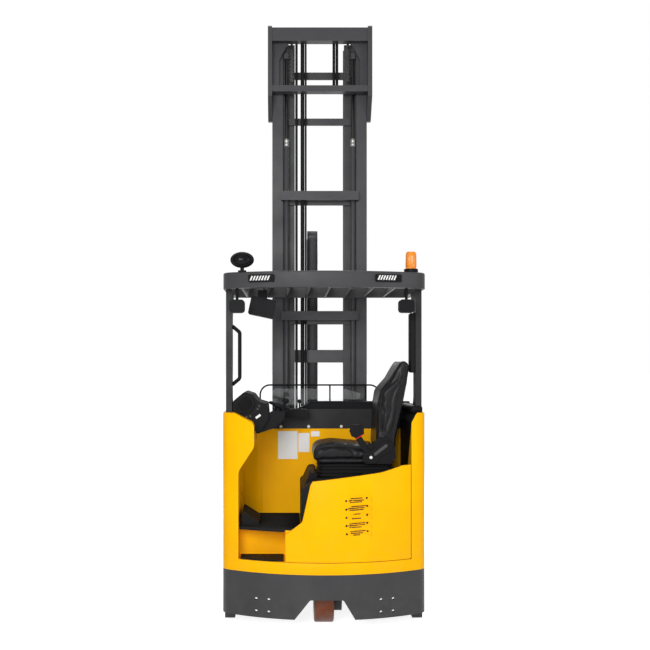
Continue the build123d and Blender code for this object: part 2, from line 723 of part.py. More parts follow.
# Overhead guard
POST_X = (HALF - 56.0, HALF - 18.0)
POST_Y = (250.0, 370.0)
ROOF_INSET = 5.0
ROOF_RIM = 45.0
ROOF_BLADES = 8
ROOF_BLADE_X0 = -HALF + 145.0
ROOF_BLADE_STEP = (TRUCK_WIDTH - 321.0) / (ROOF_BLADES - 1)
ROOF_BLADE_T = 14.0
ROOF_BLADE_H = 70.0
ROOF_BLADE_LEAN = 40.0


def guard_post():
    """Rear post of the guard, with a wide foot and a gusset under the roof."""
    y0 = back(POST_Y[0])
    y1 = back(POST_Y[1])
    rows = (
        (y0, WALL_Z, 0),
        (y1 + 40, WALL_Z, 0),
        (y1 + 40, WALL_Z + 30, 10),
        (y1, WALL_Z + 90, 60),
        (y1, ROOF_Z0 - 160, 120),
        (y1 + 150, ROOF_Z0, 0),
        (y0, ROOF_Z0, 0),
    )
    return along_x(rows, POST_X[0], POST_X[1])


def guard_roof():
    """Rim of the roof with its leaning bars."""
    outer = plan(ROOF_INSET, ROOF_FRONT_Y, ROOF_Z0, ROOF_Z1, ROOF_ARC_R)
    top_edges = outer.edges().group_by(Axis.Z)[-1]
    outer = fillet(top_edges, 10)
    hole = plan(ROOF_INSET + ROOF_RIM, ROOF_FRONT_Y - ROOF_RIM, ROOF_Z0 - 1, ROOF_Z1 + 1, ROOF_ARC_R)
    roof = outer - hole
    half_rim = ROOF_RIM / 2
    room = plan(ROOF_INSET + half_rim, ROOF_FRONT_Y - half_rim, ROOF_Z0, ROOF_Z1 - 6, ROOF_ARC_R)
    for number in range(ROOF_BLADES):
        x = ROOF_BLADE_X0 + number * ROOF_BLADE_STEP
        half = ROOF_BLADE_T / 2
        lean = ROOF_BLADE_LEAN / 2
        low = ROOF_Z0 + 4
        rows = (
            (x - half - lean, low, 0),
            (x + half - lean, low, 0),
            (x + half + lean, low + ROOF_BLADE_H, 0),
            (x - half + lean, low + ROOF_BLADE_H, 0),
        )
        roof = roof + (along_y(rows, back(0), back(ROOF_FRONT_Y)) & room)
    return roof


LAMP_X = HALF - 252.0
LAMP_W = 165.0
LAMP_H = 47.0
LAMP_Z = ROOF_Z0 + 57.0
LAMP_T = 16.0
SPOT_X = {"left": -HALF + 95.0, "right": HALF - 131.0}
SPOT_Z = ROOF_Z0 - 112.0
SPOT_SIZE = 96.0


def roof_edge(x):
    """Place along Y of the roof's rear edge at a distance from the middle."""
    return REAR_Y + ROOF_ARC_R - math.sqrt((ROOF_ARC_R - ROOF_INSET) ** 2 - x ** 2)


def guard_lamps():
    """Two flat lamps on the rim, and two spot lamps hung below it on stems."""
    rim = plan(ROOF_INSET, ROOF_FRONT_Y, ROOF_Z0, ROOF_Z1, ROOF_ARC_R)
    lamps = []
    for side, sign in SIDES:
        face_y = roof_edge(LAMP_X)
        turn = -sign * math.degrees(math.asin(LAMP_X / ROOF_ARC_R))
        slab = Box(LAMP_W, 3 * LAMP_T, LAMP_H)
        slab = fillet(slab.edges().filter_by(Axis.Y), 8)
        lamp = Pos(sign * LAMP_X, face_y + LAMP_T / 2, LAMP_Z) * Rot(0, 0, -turn) * slab
        lamps.append(lamp - rim)
        x = SPOT_X[side]
        y = roof_edge(x) + ROOF_RIM / 2
        head = Pos(x, y, SPOT_Z) * Box(SPOT_SIZE, 70, SPOT_SIZE - 14)
        head = fillet(head.edges().filter_by(Axis.Y), 22)
        stem = rod_z(x, y, SPOT_Z, ROOF_Z0, 9)
        lamps.append(head + stem)
    return Compound(children=lamps)


BEACON_X = HALF - 96.0
BEACON_Y = 165.0
BEACON_R = 36.0
BEACON_BASE_H = 22.0
BEACON_H = 112.0


def beacon():
    """Black base and amber lens."""
    y = back(BEACON_Y)
    base = rod_z(BEACON_X, y, ROOF_Z1, ROOF_Z1 + BEACON_BASE_H, BEACON_R + 8)
    lens = rod_z(BEACON_X, y, ROOF_Z1 + BEACON_BASE_H, ROOF_Z1 + BEACON_BASE_H + BEACON_H, BEACON_R)
    lens = fillet(lens.edges().group_by(Axis.Z)[-1], 22)
    return base, lens


MIRROR_X = -HALF + 127.0
MIRROR_Y = 122.0


def mirror_lamp():
    """Oval mirror housing on a short stem on the roof's rim."""
    y = back(MIRROR_Y)
    shell = Pos(MIRROR_X, y, ROOF_Z1 + 76) * scale(Sphere(1), by=(74, 42, 50))
    stem = rod_z(MIRROR_X, y, ROOF_Z1, ROOF_Z1 + 60, 12)
    foot = rod_z(MIRROR_X, y, ROOF_Z1, ROOF_Z1 + 10, 26)
    return shell + stem + foot


MONITOR_X = -HALF + 248.0
MONITOR_Y = 330.0
MONITOR_Z = ROOF_Z0 - 107.0


def monitor_box():
    """Tilted black box hung under the roof by a plate."""
    y = back(MONITOR_Y)
    case = Pos(MONITOR_X, y, MONITOR_Z) * Rot(0, 12, 0) * Box(165, 90, 120)
    case = fillet(case.edges().filter_by(Axis.Y, tolerance=0.1), 12)
    hanger = block(MONITOR_X - 30, MONITOR_X + 30, y - 6, y + 6, MONITOR_Z, ROOF_Z0 + 4)
    return case + hanger


HANDLE_Z = (WALL_Z + 175, ROOF_Z0 - 228)
HANDLE_OUT = 48.0
HANDLE_R = 12.0


def grab_handle():
    """Bent bar on the inner side of the left post."""
    x0 = -POST_X[0]
    y = back((POST_Y[0] + POST_Y[1]) / 2 - 20)
    points = (
        (x0, y, HANDLE_Z[0]),
        (x0 + HANDLE_OUT, y, HANDLE_Z[0] + 40),
        (x0 + HANDLE_OUT, y, HANDLE_Z[1] - 40),
        (x0, y, HANDLE_Z[1]),
    )
    path = FilletPolyline(*points, radius=24)
    ring = Plane(origin=path @ 0, z_dir=path % 0) * Circle(HANDLE_R)
    bar = sweep(ring, path)
    return bar - block(x0 - 60, x0, y - 60, y + 60, HANDLE_Z[0] - 60, HANDLE_Z[1] + 60)


POST_PAD_T = 34.0
POST_PAD_Z = (WALL_Z + 252, ROOF_Z0 - 145)


def post_pad():
    """Padding on the inner side of the right post."""
    x0 = POST_X[0] - POST_PAD_T
    pad = block(x0, POST_X[0], back(POST_Y[0] + 10), back(POST_Y[1] - 10), POST_PAD_Z[0], POST_PAD_Z[1])
    return fillet(pad.faces().sort_by(Axis.X)[0].edges(), 12)


HOOP_X = HALF - 215.0
HOOP_Y = 1000.0
HOOP_TOP = 1500.0
HOOP_R = 6.0
HOOP_UPRIGHTS = (71.0, 325.0)
SCREEN_X = (-340.0, 330.0)
SCREEN_T = 5.0


def screen_hoop():
    """Thin wire hoop standing on the hood, with uprights."""
    y = back(HOOP_Y)
    foot = 1255.0
    points = ((-HOOP_X, y, foot), (-HOOP_X, y, HOOP_TOP), (HOOP_X, y, HOOP_TOP), (HOOP_X, y, foot))
    path = FilletPolyline(*points, radius=70)
    ring = Plane(origin=path @ 0, z_dir=path % 0) * Circle(HOOP_R)
    wire = sweep(ring, path)
    for x in HOOP_UPRIGHTS:
        wire = wire + rod_z(x, y, foot, HOOP_TOP, HOOP_R)
    return wire - hood()


def clear_screen():
    """Clear sheet held behind the hoop."""
    rows = (
        (SCREEN_X[0], 1250.0, 0),
        (SCREEN_X[0], 1474.0, 30),
        (180.0, 1474.0, 60),
        (SCREEN_X[1], 1425.0, 30),
        (SCREEN_X[1], 1250.0, 0),
    )
    y = back(HOOP_Y) - HOOP_R - FIT
    return along_y(rows, y - SCREEN_T, y) - hood()


# Mast: three nested pairs of rails
PAD_T = STAGE_SHIFT - FLANGE_T - FIT
PAD_W = 40.0
PAD_H = 120.0
STAGE_GAP = 30.0            # each stage's rails stop this far below the stage around them


def outer_rail():
    """Channel, open to the middle, with a slide pad at its top."""
    edge, web_in, web_out = OUTER_X
    y0 = MAST_Y
    y1 = MAST_Y + RAIL_DEPTH
    top = MAST_HEIGHT - STAGE_GAP
    rail = block(web_in, web_out, y0, y1, RAIL_Z0, top)
    rail = rail + block(edge, web_out, y0, y0 + FLANGE_T, RAIL_Z0, top)
    rail = rail + block(edge, web_out, y1 - FLANGE_T, y1, RAIL_Z0, top)
    pad = block(edge + 5, edge + 5 + PAD_W, y1, y1 + PAD_T, top - 2 * PAD_H, top - PAD_H)
    return rail + pad


def stage_rail(section, stage):
    """I beam of the middle or inner stage, with its slide pads."""
    x0, web0, web1, x1 = section
    y0 = MAST_Y + stage * STAGE_SHIFT
    y1 = y0 + RAIL_DEPTH
    bottom = STAGE_Z0 + (stage - 1) * 10
    top = MAST_HEIGHT - (stage + 1) * STAGE_GAP
    rail = block(web0, web1, y0, y1, bottom, top)
    rail = rail + block(x0, x1, y0, y0 + FLANGE_T, bottom, top)
    rail = rail + block(x0, x1, y1 - FLANGE_T, y1, bottom, top)
    rail = rail + block(x1 - PAD_W, x1 - 2, y0 - PAD_T, y0, bottom, bottom + PAD_H)
    return rail


def middle_rail():
    rail = stage_rail(MIDDLE_X, 1)
    y1 = MAST_Y + STAGE_SHIFT + RAIL_DEPTH
    top = MAST_HEIGHT - 2 * STAGE_GAP
    pad = block(MIDDLE_X[0] + 1, INNER_X[3] - 1, y1, y1 + PAD_T, top - 2 * PAD_H, top - PAD_H)
    return rail + pad


def inner_rail():
    return stage_rail(INNER_X, 2)


# Cross bars: lower edge and height
OUTER_BARS = ((2821.0, 65.0), (1963.0, 65.0))
MIDDLE_BARS = ((MAST_HEIGHT - 678, 50.0), (2795.0, 78.0), (1935.0, 68.0), (1050.0, 60.0))
INNER_BARS = ((MAST_HEIGHT - 340, 52.0), (1660.0, 92.0), (420.0, 80.0))
BAR_BACK = 50.0
BAR_FRONT = 22.0


def outer_bars():
    """Bars behind the lift cylinders, on lugs on the rails' rear flanges."""
    bars = []
    edge = OUTER_X[0]
    for z, height in OUTER_BARS:
        bar = block(-edge - 16, edge + 16, MAST_Y - BAR_BACK, MAST_Y - BAR_FRONT, z, z + height)
        for side, sign in SIDES:
            x = sign * (edge + 8)
            bar = bar + block(x - 8, x + 8, MAST_Y - BAR_FRONT, MAST_Y, z, z + height)
        bars.append(bar)
    return Compound(children=bars)


def middle_bars():
    """Bars between the middle rails, and the top tie that the lift rods push on."""
    edge = MIDDLE_X[0]
    y0 = MAST_Y + STAGE_SHIFT
    bars = [block(-edge, edge, y0, y0 + FLANGE_T, z, z + height) for z, height in MIDDLE_BARS]
    for side, sign in SIDES:
        tie = block(LIFT_X - 16, LIFT_X + 18, MAST_Y - 15, y0, TIE_Z, TIE_Z + TIE_H)
        bars.append(tie if sign > 0 else mirrored(tie))
    return Compound(children=bars)


def inner_bars():
    edge = INNER_X[0]
    y0 = MAST_Y + 2 * STAGE_SHIFT
    return Compound(children=[block(-edge, edge, y0, y0 + FLANGE_T, z, z + h) for z, h in INNER_BARS])


# Head portal: frame behind the top of the outer rails
PORTAL_T = 30.0
PORTAL_Y = -110.0
PORTAL_BARS = ((MAST_HEIGHT - 108, 94.0), (MAST_HEIGHT - 467, 43.0))
PORTAL_INNER = 50.0


def head_portal():
    web = OUTER_X[2]
    y0 = MAST_Y + PORTAL_Y
    y1 = MAST_Y - BAR_FRONT
    plate_rows = (
        (y0, MAST_HEIGHT, 20),
        (y0, MAST_HEIGHT - 500, 0),
        (MAST_Y + 20, MAST_HEIGHT - 650, 0),
        (MAST_Y + 60, MAST_HEIGHT - 650, 0),
        (MAST_Y + 60, MAST_HEIGHT, 0),
    )
    side_plate = along_x(plate_rows, web, web + PORTAL_T)
    head_z = PORTAL_BARS[0][0]
    foot_z = PORTAL_BARS[1][0]
    jamb_rows = (
        (web, foot_z, 0),
        (web, MAST_HEIGHT - 25, 0),
        (web - 120, MAST_HEIGHT - 25, 0),
        (web - 120, head_z, 0),
        (web - 98, head_z - 28, 0),
        (web - PORTAL_INNER, head_z - 118, 30),
        (web - PORTAL_INNER, foot_z, 0),
    )
    jamb = along_y(jamb_rows, y1 - 14, y1)
    frame = side_plate + jamb
    frame = frame + mirrored(frame)
    for z, height in PORTAL_BARS:
        frame = frame + block(-web, web, y0 + 10, y1, z, z + height)
    return frame


# Reach frame: foot of the outer mast, with arms and rollers that run in the legs' tracks
ARM_X = (LEG_X0 - 32.0, LEG_X0 - 8.0)
ROLLER_Y = (-300.0, -135.0)
ROLLER_R = (TRACK_Z[1] - TRACK_Z[0]) / 2 - FIT
ROLLER_X1 = LEG_X0 + TRACK_DEPTH - 6.0


def reach_frame():
    web = OUTER_X[2]
    arm = block(ARM_X[0], ARM_X[1], MAST_Y + ROLLER_Y[0] - 60, MAST_Y + RAIL_DEPTH, TRACK_Z[0], 290.0)
    arm = fillet(arm.edges().filter_by(Axis.X), 30)
    shoulder = block(web, ARM_X[0], MAST_Y, MAST_Y + RAIL_DEPTH, TRACK_Z[0], 290.0)
    half = arm + shoulder
    roller_z = (TRACK_Z[0] + TRACK_Z[1]) / 2
    for y in ROLLER_Y:
        half = half + rod_x(ARM_X[1], ROLLER_X1, MAST_Y + y, roller_z, 22)
        half = half + rod_x(LEG_X0 + 8, ROLLER_X1, MAST_Y + y, roller_z, ROLLER_R)
    beam = block(-OUTER_X[1], OUTER_X[1], MAST_Y + FLANGE_T, MAST_Y + RAIL_DEPTH - FLANGE_T, RAIL_Z0, BEAM_Z1)
    lip = block(-OUTER_X[0], OUTER_X[0], MAST_Y - 30, MAST_Y + FLANGE_T, RAIL_Z0, BEAM_Z1)
    return Compound(children=[half, mirrored(half), beam + lip])


def lift_cylinder():
    """Barrel with a collar; the rod runs inside."""
    y = MAST_Y + LIFT_Y
    barrel = rod_z(LIFT_X, y, BEAM_Z1, LIFT_BARREL_TOP, LIFT_BARREL_R)
    bore = rod_z(LIFT_X, y, BEAM_Z1 + 60, LIFT_BARREL_TOP + 1, LIFT_ROD_R + FIT)
    return barrel - bore


def lift_rod():
    return rod_z(LIFT_X, MAST_Y + LIFT_Y, BEAM_Z1 + 70, TIE_Z, LIFT_ROD_R)


CHAIN_X = 200.0
CHAIN_W = 30.0
CHAIN_PITCH = 26.0
CHAIN_LINKS = 9
CHAIN_TOP = PORTAL_BARS[0][0] - 43.0


def chain():
    """Leaf chain's anchored run behind the head, as a stack of waisted links with its anchor bolt."""
    y = MAST_Y - 38
    run = block(CHAIN_X - 8, CHAIN_X + 8, y - 6, y + 6, CHAIN_TOP - CHAIN_LINKS * CHAIN_PITCH, CHAIN_TOP)
    for link in range(CHAIN_LINKS):
        z = CHAIN_TOP - (link + 0.5) * CHAIN_PITCH
        run = run + rod_y(CHAIN_X, y - 9, y + 9, z, 10)
        run = run + rod_x(CHAIN_X - CHAIN_W / 2, CHAIN_X + CHAIN_W / 2, y, z, 5)
    anchor = rod_z(CHAIN_X, y, CHAIN_TOP, PORTAL_BARS[0][0], 9)
    return run + anchor


def free_lift():
    """Free lift cylinder on the inner bars, with a chain wheel in a fork at its top."""
    y = MAST_Y + 2 * STAGE_SHIFT + FLANGE_T + FREE_R
    barrel = rod_z(FREE_X, y, STAGE_Z0 + 20, FREE_TOP - 60, FREE_R)
    wheel = rod_x(FREE_X - FREE_R + 3, FREE_X + FREE_R - 3, y, FREE_TOP - FREE_R - 5, FREE_R + 5)
    return barrel + wheel


# Hoses and pipes on the outer mast's bars: X, radius, lower end
HOSE_TOP = PORTAL_BARS[0][0] + 8.0
PIPES = (
    (-166.0, 9.0, BEAM_Z1),
    (-123.0, 14.0, BEAM_Z1),
    (-100.0, 7.0, BEAM_Z1),
    (102.0, 10.0, PORTAL_BARS[1][0] + 10),
    (124.0, 10.0, PORTAL_BARS[1][0] + 10),
)


def hoses():
    """Straight hoses and a pipe, held on the front of the outer bars and the head portal."""
    lines = []
    for x, radius, z0 in PIPES:
        lines.append(rod_z(x, MAST_Y - BAR_FRONT + radius, z0, HOSE_TOP, radius))
    return Compound(children=lines)


# Carriage, tilt frame, side shift and forks
CARRIAGE_X = (138.0, 166.0)
CARRIAGE_Z = (200.0, 720.0)
CARRIAGE_ROLLERS = (262.0, 650.0)
CARRIAGE_HALF = 330.0
CARRIAGE_BARS = ((230.0, 80.0), (560.0, 80.0))
CARRIAGE_Y = (205.0, 230.0)
LUG_X = (150.0, 178.0)
TILT_PLATE_Y = (258.0, 280.0)
TILT_LUG_X = (181.0, 205.0)
SHIFT_Y = (281.0, 311.0)
SHIFT_HALF = 300.0


def carriage():
    rows_z = CARRIAGE_Z
    gap0 = MAST_Y + 2 * STAGE_SHIFT + FLANGE_T
    gap1 = gap0 + RAIL_DEPTH - 2 * FLANGE_T
    roller_y = (gap0 + gap1) / 2
    roller_r = (gap1 - gap0) / 2 - FIT
    plate = block(CARRIAGE_X[0], CARRIAGE_X[1], gap0 + 28, MAST_Y + CARRIAGE_Y[1], rows_z[0], rows_z[1])
    for z in CARRIAGE_ROLLERS:
        plate = plate + rod_x(CARRIAGE_X[1], INNER_X[1] - 2, roller_y, z, roller_r)
    lug = rod_x(LUG_X[0], LUG_X[1], MAST_Y + TILT_Y, TILT_Z, 34)
    lug = lug + block(LUG_X[0], LUG_X[1], MAST_Y + CARRIAGE_Y[0], MAST_Y + TILT_Y, TILT_Z - 34, TILT_Z + 34)
    pin = rod_x(LUG_X[0], TILT_LUG_X[1] + 4, MAST_Y + TILT_Y, TILT_Z, TILT_PIN_R)
    half = plate + lug + pin
    frame = half + mirrored(half)
    for z, height in CARRIAGE_BARS:
        y0, y1 = CARRIAGE_Y
        frame = frame + block(-CARRIAGE_HALF, CARRIAGE_HALF, MAST_Y + y0, MAST_Y + y1, z, z + height)
    return frame


def tilt_frame():
    """Frame that tilts with the forks, hung on the carriage's pins."""
    y0 = MAST_Y + TILT_PLATE_Y[0]
    y1 = MAST_Y + TILT_PLATE_Y[1]
    frame = block(-SHIFT_HALF, SHIFT_HALF, y0, y1, 130.0, 210.0)
    frame = frame + block(-SHIFT_HALF, SHIFT_HALF, y0, y1, 460.0, 540.0)
    for side, sign in SIDES:
        lug = rod_x(TILT_LUG_X[0], TILT_LUG_X[1], MAST_Y + TILT_Y, TILT_Z, 32)
        lug = lug + block(TILT_LUG_X[0], TILT_LUG_X[1], y0, y1, 130.0, TILT_Z)
        lug = lug - rod_x(TILT_LUG_X[0] - 1, TILT_LUG_X[1] + 1, MAST_Y + TILT_Y, TILT_Z, TILT_PIN_R + FIT)
        frame = frame + (lug if sign > 0 else mirrored(lug))
    return frame


def shift_carriage():
    """Carriage that hooks over the tilt frame's bars and slides sideways."""
    y0 = MAST_Y + TILT_PLATE_Y[1] + FIT
    y1 = MAST_Y + SHIFT_Y[1]
    hook_y = MAST_Y + TILT_PLATE_Y[0]
    half = SHIFT_HALF - 60
    plate = block(-half - 60, half + 60, y0, y1, 120.0, 200.0)
    plate = plate + block(-half - 60, half + 60, y0, y1, 480.0, 552.0)
    for side, sign in SIDES:
        x = sign * 68
        plate = plate + block(x - 30, x + 30, y0, y1, 120.0, 552.0)
        plate = plate + block(x - 30, x + 30, hook_y, y1, 540.0 + FIT, 552.0)
    return plate


def fork():
    """One fork: shank, bent heel and tapered blade."""
    y0 = MAST_Y + SHIFT_Y[1]
    y1 = MAST_Y + FORK_FACE
    tip = y1 + FORK_LENGTH
    rows = (
        (y0, FORK_SHANK_TOP - 40, 0),
        (y0, FORK_Z0, 30),
        (tip, FORK_Z0, 0),
        (tip, FORK_Z0 + 10, 4),
        (y1 + 420, FORK_Z0 + FORK_T, 200),
        (y1, FORK_Z0 + FORK_T, 12),
        (y1, FORK_SHANK_TOP - 40, 0),
    )
    x0 = FORK_X - FORK_W / 2
    x1 = FORK_X + FORK_W / 2
    taper_rows = (
        (x0, y0 - 1, 0),
        (x1, y0 - 1, 0),
        (x1, tip - FORK_POINT, 20),
        (x1 - FORK_POINT / 2, tip, 20),
        (x0 + FORK_POINT / 2, tip, 20),
        (x0, tip - FORK_POINT, 20),
    )
    return along_x(rows, x0, x1) & along_z(taper_rows, 0, FORK_SHANK_TOP)


DRIVE_HUB, DRIVE_TYRE = drive_wheel_parts()
BEACON_BASE, BEACON_LENS = beacon()
LEG = leg()
LOAD_WHEEL = load_wheel()
POST = guard_post()

NODES = {
    "skirt": skirt(),
    "chassis_deck": deck(),
    "leg_left": mirrored(LEG),
    "leg_right": LEG,
    "load_axles": both_sides(load_axle()),
    "body_sill": sill(),
    "left_wall": left_wall(),
    "right_wall": right_wall(),
    "rear_cover": rear_cover(),
    "seat_box": seat_box(),
    "floor_box": floor_box(),
    "mats": mats(),
    "pedals": pedals(),
    "bulkhead_lower": bulkhead_lower(),
    "bulkhead_upper": bulkhead_upper(),
    "battery": battery(),
    "hood": hood(),
    "seat_bellows": seat_bellows(),
    "seat_cushion": seat_cushion(),
    "seat_back": seat_back(),
    "seat_recliner": seat_recliner(),
    "dash": dash(),
    "lever_console": lever_console(),
    "guard_post_left": mirrored(POST),
    "guard_post_right": POST,
    "guard_roof": guard_roof(),
    "guard_lamps": guard_lamps(),
    "beacon_base": BEACON_BASE,
    "beacon_lens": BEACON_LENS,
    "mirror": mirror_lamp(),
    "monitor_box": monitor_box(),
    "grab_handle": grab_handle(),
    "post_pad": post_pad(),
    "screen_hoop": screen_hoop(),
    "clear_screen": clear_screen(),
    "drive_unit": drive_unit(),
    "drive_hub": DRIVE_HUB,
    "drive_tyre": DRIVE_TYRE,
    "load_wheel_left": mirrored(LOAD_WHEEL),
    "load_wheel_right": LOAD_WHEEL,
    "steering_wheel": steering_wheel(),
    "outer_rails": both_sides(outer_rail()),
    "outer_bars": outer_bars(),
    "head_portal": head_portal(),
    "reach_frame": reach_frame(),
    "lift_cylinders": both_sides(lift_cylinder()),
    "lift_chains": both_sides(chain()),
    "middle_rails": both_sides(middle_rail()),
    "middle_bars": middle_bars(),
    "lift_rods": both_sides(lift_rod()),
    "inner_rails": both_sides(inner_rail()),
    "inner_bars": inner_bars(),
    "free_lift_cylinder": free_lift(),
    "hoses": hoses(),
    "carriage": carriage(),
    "tilt_frame": tilt_frame(),
    "shift_carriage": shift_carriage(),
    "forks": both_sides(fork()),
}

for node_name, node_shape in NODES.items():
    save(node_name, node_shape)
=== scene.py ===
# %% [markdown]
# A sit-on reach truck, dressed for a product picture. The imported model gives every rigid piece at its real
# size, in metres. This lesson lights it, gives each surface its finish, and adds what is too soft or too
# small for the solids: the padded seat, vents, bolts, lamps and controls.

# %% Load the frame
import json
import math

import bmesh
import bpy
import numpy as np
from mathutils import Matrix, Vector


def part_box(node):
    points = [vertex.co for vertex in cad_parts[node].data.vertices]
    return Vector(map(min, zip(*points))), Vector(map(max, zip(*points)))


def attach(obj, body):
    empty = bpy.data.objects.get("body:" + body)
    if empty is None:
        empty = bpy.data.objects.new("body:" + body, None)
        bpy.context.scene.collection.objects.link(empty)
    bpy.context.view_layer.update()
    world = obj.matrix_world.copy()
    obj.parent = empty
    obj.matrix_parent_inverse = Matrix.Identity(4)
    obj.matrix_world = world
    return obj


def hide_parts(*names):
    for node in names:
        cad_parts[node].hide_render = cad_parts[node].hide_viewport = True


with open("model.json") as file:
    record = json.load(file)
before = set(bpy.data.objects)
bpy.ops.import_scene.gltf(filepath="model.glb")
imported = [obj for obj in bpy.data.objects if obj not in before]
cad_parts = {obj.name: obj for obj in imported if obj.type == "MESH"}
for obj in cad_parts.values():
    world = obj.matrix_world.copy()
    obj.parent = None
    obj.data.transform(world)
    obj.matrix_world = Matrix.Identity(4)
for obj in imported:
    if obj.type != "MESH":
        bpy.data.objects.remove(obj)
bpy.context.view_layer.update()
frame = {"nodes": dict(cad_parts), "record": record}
nodes = frame["nodes"]
scene = bpy.context.scene
REAR_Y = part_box("rear_cover")[0].y

# %% [markdown]
# The photograph was taken from behind the truck by a level camera at about eye height, a few metres away,
# and then cropped off centre. A level camera keeps the mast upright, so the crop is a lens shift and not a
# tilt.

# %% Camera
FRAME_PIXELS = 650
FOCAL_PIXELS = 983
CAMERA_BACK = 6.0
CAMERA_X = -0.230
CAMERA_Z = 1.63
AXIS_PIXEL = (287.6, 366.7)
SENSOR_MM = 36.0

camera = bpy.data.cameras.new("camera")
camera.sensor_width = SENSOR_MM
camera.lens = SENSOR_MM * FOCAL_PIXELS / FRAME_PIXELS
camera.shift_x = (FRAME_PIXELS / 2 - AXIS_PIXEL[0]) / FRAME_PIXELS
camera.shift_y = (AXIS_PIXEL[1] - FRAME_PIXELS / 2) / FRAME_PIXELS
camera.clip_end = 200
camera_object = bpy.data.objects.new("camera", camera)
camera_object.location = (CAMERA_X, REAR_Y - CAMERA_BACK, CAMERA_Z)
camera_object.rotation_euler = (math.radians(90), 0, 0)
scene.collection.objects.link(camera_object)
scene.camera = camera_object
print("lens", round(camera.lens, 1), "mm, shift", round(camera.shift_x, 4), round(camera.shift_y, 4))

# %% [markdown]
# A product picture has a white sweep and large soft lamps. The world and the floor show white to the camera
# and to mirrors, while the light that they throw on the truck stays at a plain level, so paint keeps its
# written colour.

# %% Stage and light
scene.view_settings.view_transform = "Standard"
AMBIENT = 0.26
FLOOR_GLOW = 0.86
FLOOR_SIZE = 400.0
FLOOR_DROP = 0.0005     # keeps the floor's face clear of the tyres


def math_node(tree, operation, first, second, clamp=False):
    """A Math node fed by sockets or plain numbers."""
    node = tree.nodes.new("ShaderNodeMath")
    node.operation = operation
    node.use_clamp = clamp
    for index, value in enumerate((first, second)):
        if isinstance(value, (int, float)):
            node.inputs[index].default_value = value
        else:
            tree.links.new(value, node.inputs[index])
    return node.outputs[0]


def spread(tree, value, low, high, to_low=0.0, to_high=1.0):
    """Value stretched from one range to another, and held inside it."""
    ranged = tree.nodes.new("ShaderNodeMapRange")
    ranged.inputs["From Min"].default_value = low
    ranged.inputs["From Max"].default_value = high
    ranged.inputs["To Min"].default_value = to_low
    ranged.inputs["To Max"].default_value = to_high
    tree.links.new(value, ranged.inputs["Value"])
    return ranged.outputs[0]


def seen_directly(tree):
    """One where a ray comes straight from the camera, a mirror or a clear sheet."""
    path = tree.nodes.new("ShaderNodeLightPath").outputs
    mirrored = math_node(tree, "MAXIMUM", path["Is Camera Ray"], path["Is Glossy Ray"])
    return math_node(tree, "MAXIMUM", mirrored, path["Is Transmission Ray"])


def white_world():
    world = bpy.data.worlds.new("studio")
    world.use_nodes = True
    tree = world.node_tree
    background = tree.nodes["Background"]
    background.inputs["Color"].default_value = (1, 1, 1, 1)
    level = spread(tree, seen_directly(tree), 0.0, 1.0, AMBIENT, 1.0)
    tree.links.new(level, background.inputs["Strength"])
    scene.world = world


def white_floor():
    bpy.ops.mesh.primitive_plane_add(size=FLOOR_SIZE, location=(0, 0, -FLOOR_DROP))
    floor = bpy.context.object
    floor.name = "floor"
    material = bpy.data.materials.new("floor")
    material.use_nodes = True
    tree = material.node_tree
    shader = tree.nodes["Principled BSDF"]
    shader.inputs["Base Color"].default_value = (0.80, 0.80, 0.80, 1)
    shader.inputs["Roughness"].default_value = 0.9
    shader.inputs["Specular IOR Level"].default_value = 0.1
    shader.inputs["Emission Color"].default_value = (1, 1, 1, 1)
    glow = math_node(tree, "MULTIPLY", seen_directly(tree), FLOOR_GLOW)
    tree.links.new(glow, shader.inputs["Emission Strength"])
    floor.data.materials.append(material)


def soft_lamp(name, place, target, size, power):
    light = bpy.data.lights.new(name, "AREA")
    light.shape = "RECTANGLE"
    light.size, light.size_y = size
    light.energy = power
    lamp = bpy.data.objects.new(name, light)
    lamp.location = place
    lamp.rotation_euler = (Vector(target) - Vector(place)).to_track_quat("-Z", "Y").to_euler()
    scene.collection.objects.link(lamp)


LAMPS = (       # name, place, target, size, power
    ("key", (-1.6, -8.0, 3.0), (0, -0.9, 1.2), (3.0, 3.0), 400),
    ("fill", (4.5, -6.5, 2.6), (0, -0.6, 1.2), (2.5, 3.5), 110),
    ("front", (2.5, 6.0, 5.0), (0, 0.2, 1.8), (3.5, 3.5), 190),
    ("top", (0, -0.5, 8.5), (0, 0, 2.0), (4.0, 4.0), 220),
)
white_world()
white_floor()
for lamp_row in LAMPS:
    soft_lamp(*lamp_row)
print("stage set with", len(LAMPS), "lamps")

# %% [markdown]
# Every finish shares a few effects: a fine skin that catches the light, edges rubbed brighter, dust that
# gathers low on the truck, and the pebbled grain of leatherette. Each effect is built once as a shader node
# group with named sockets, and every material places it with its own values.

# %% Shader effects
EDGE_RADIUS = 0.004


def new_group(name, inputs, outputs):
    """An empty shader group with float sockets."""
    group = bpy.data.node_groups.new(name, "ShaderNodeTree")
    for socket, value in inputs:
        made = group.interface.new_socket(socket, in_out="INPUT", socket_type="NodeSocketFloat")
        made.default_value = value
    for socket in outputs:
        group.interface.new_socket(socket, in_out="OUTPUT", socket_type="NodeSocketFloat")
    start = group.nodes.new("NodeGroupInput")
    end = group.nodes.new("NodeGroupOutput")
    return group, start, end


def noise_node(tree, scale, detail=3.0, roughness=0.55):
    """Noise in the piece's own coordinates."""
    place = tree.nodes.new("ShaderNodeTexCoord")
    noise = tree.nodes.new("ShaderNodeTexNoise")
    noise.inputs["Detail"].default_value = detail
    noise.inputs["Roughness"].default_value = roughness
    tree.links.new(place.outputs["Object"], noise.inputs["Vector"])
    if isinstance(scale, (int, float)):
        noise.inputs["Scale"].default_value = scale
    else:
        tree.links.new(scale, noise.inputs["Scale"])
    return noise.outputs["Fac"]


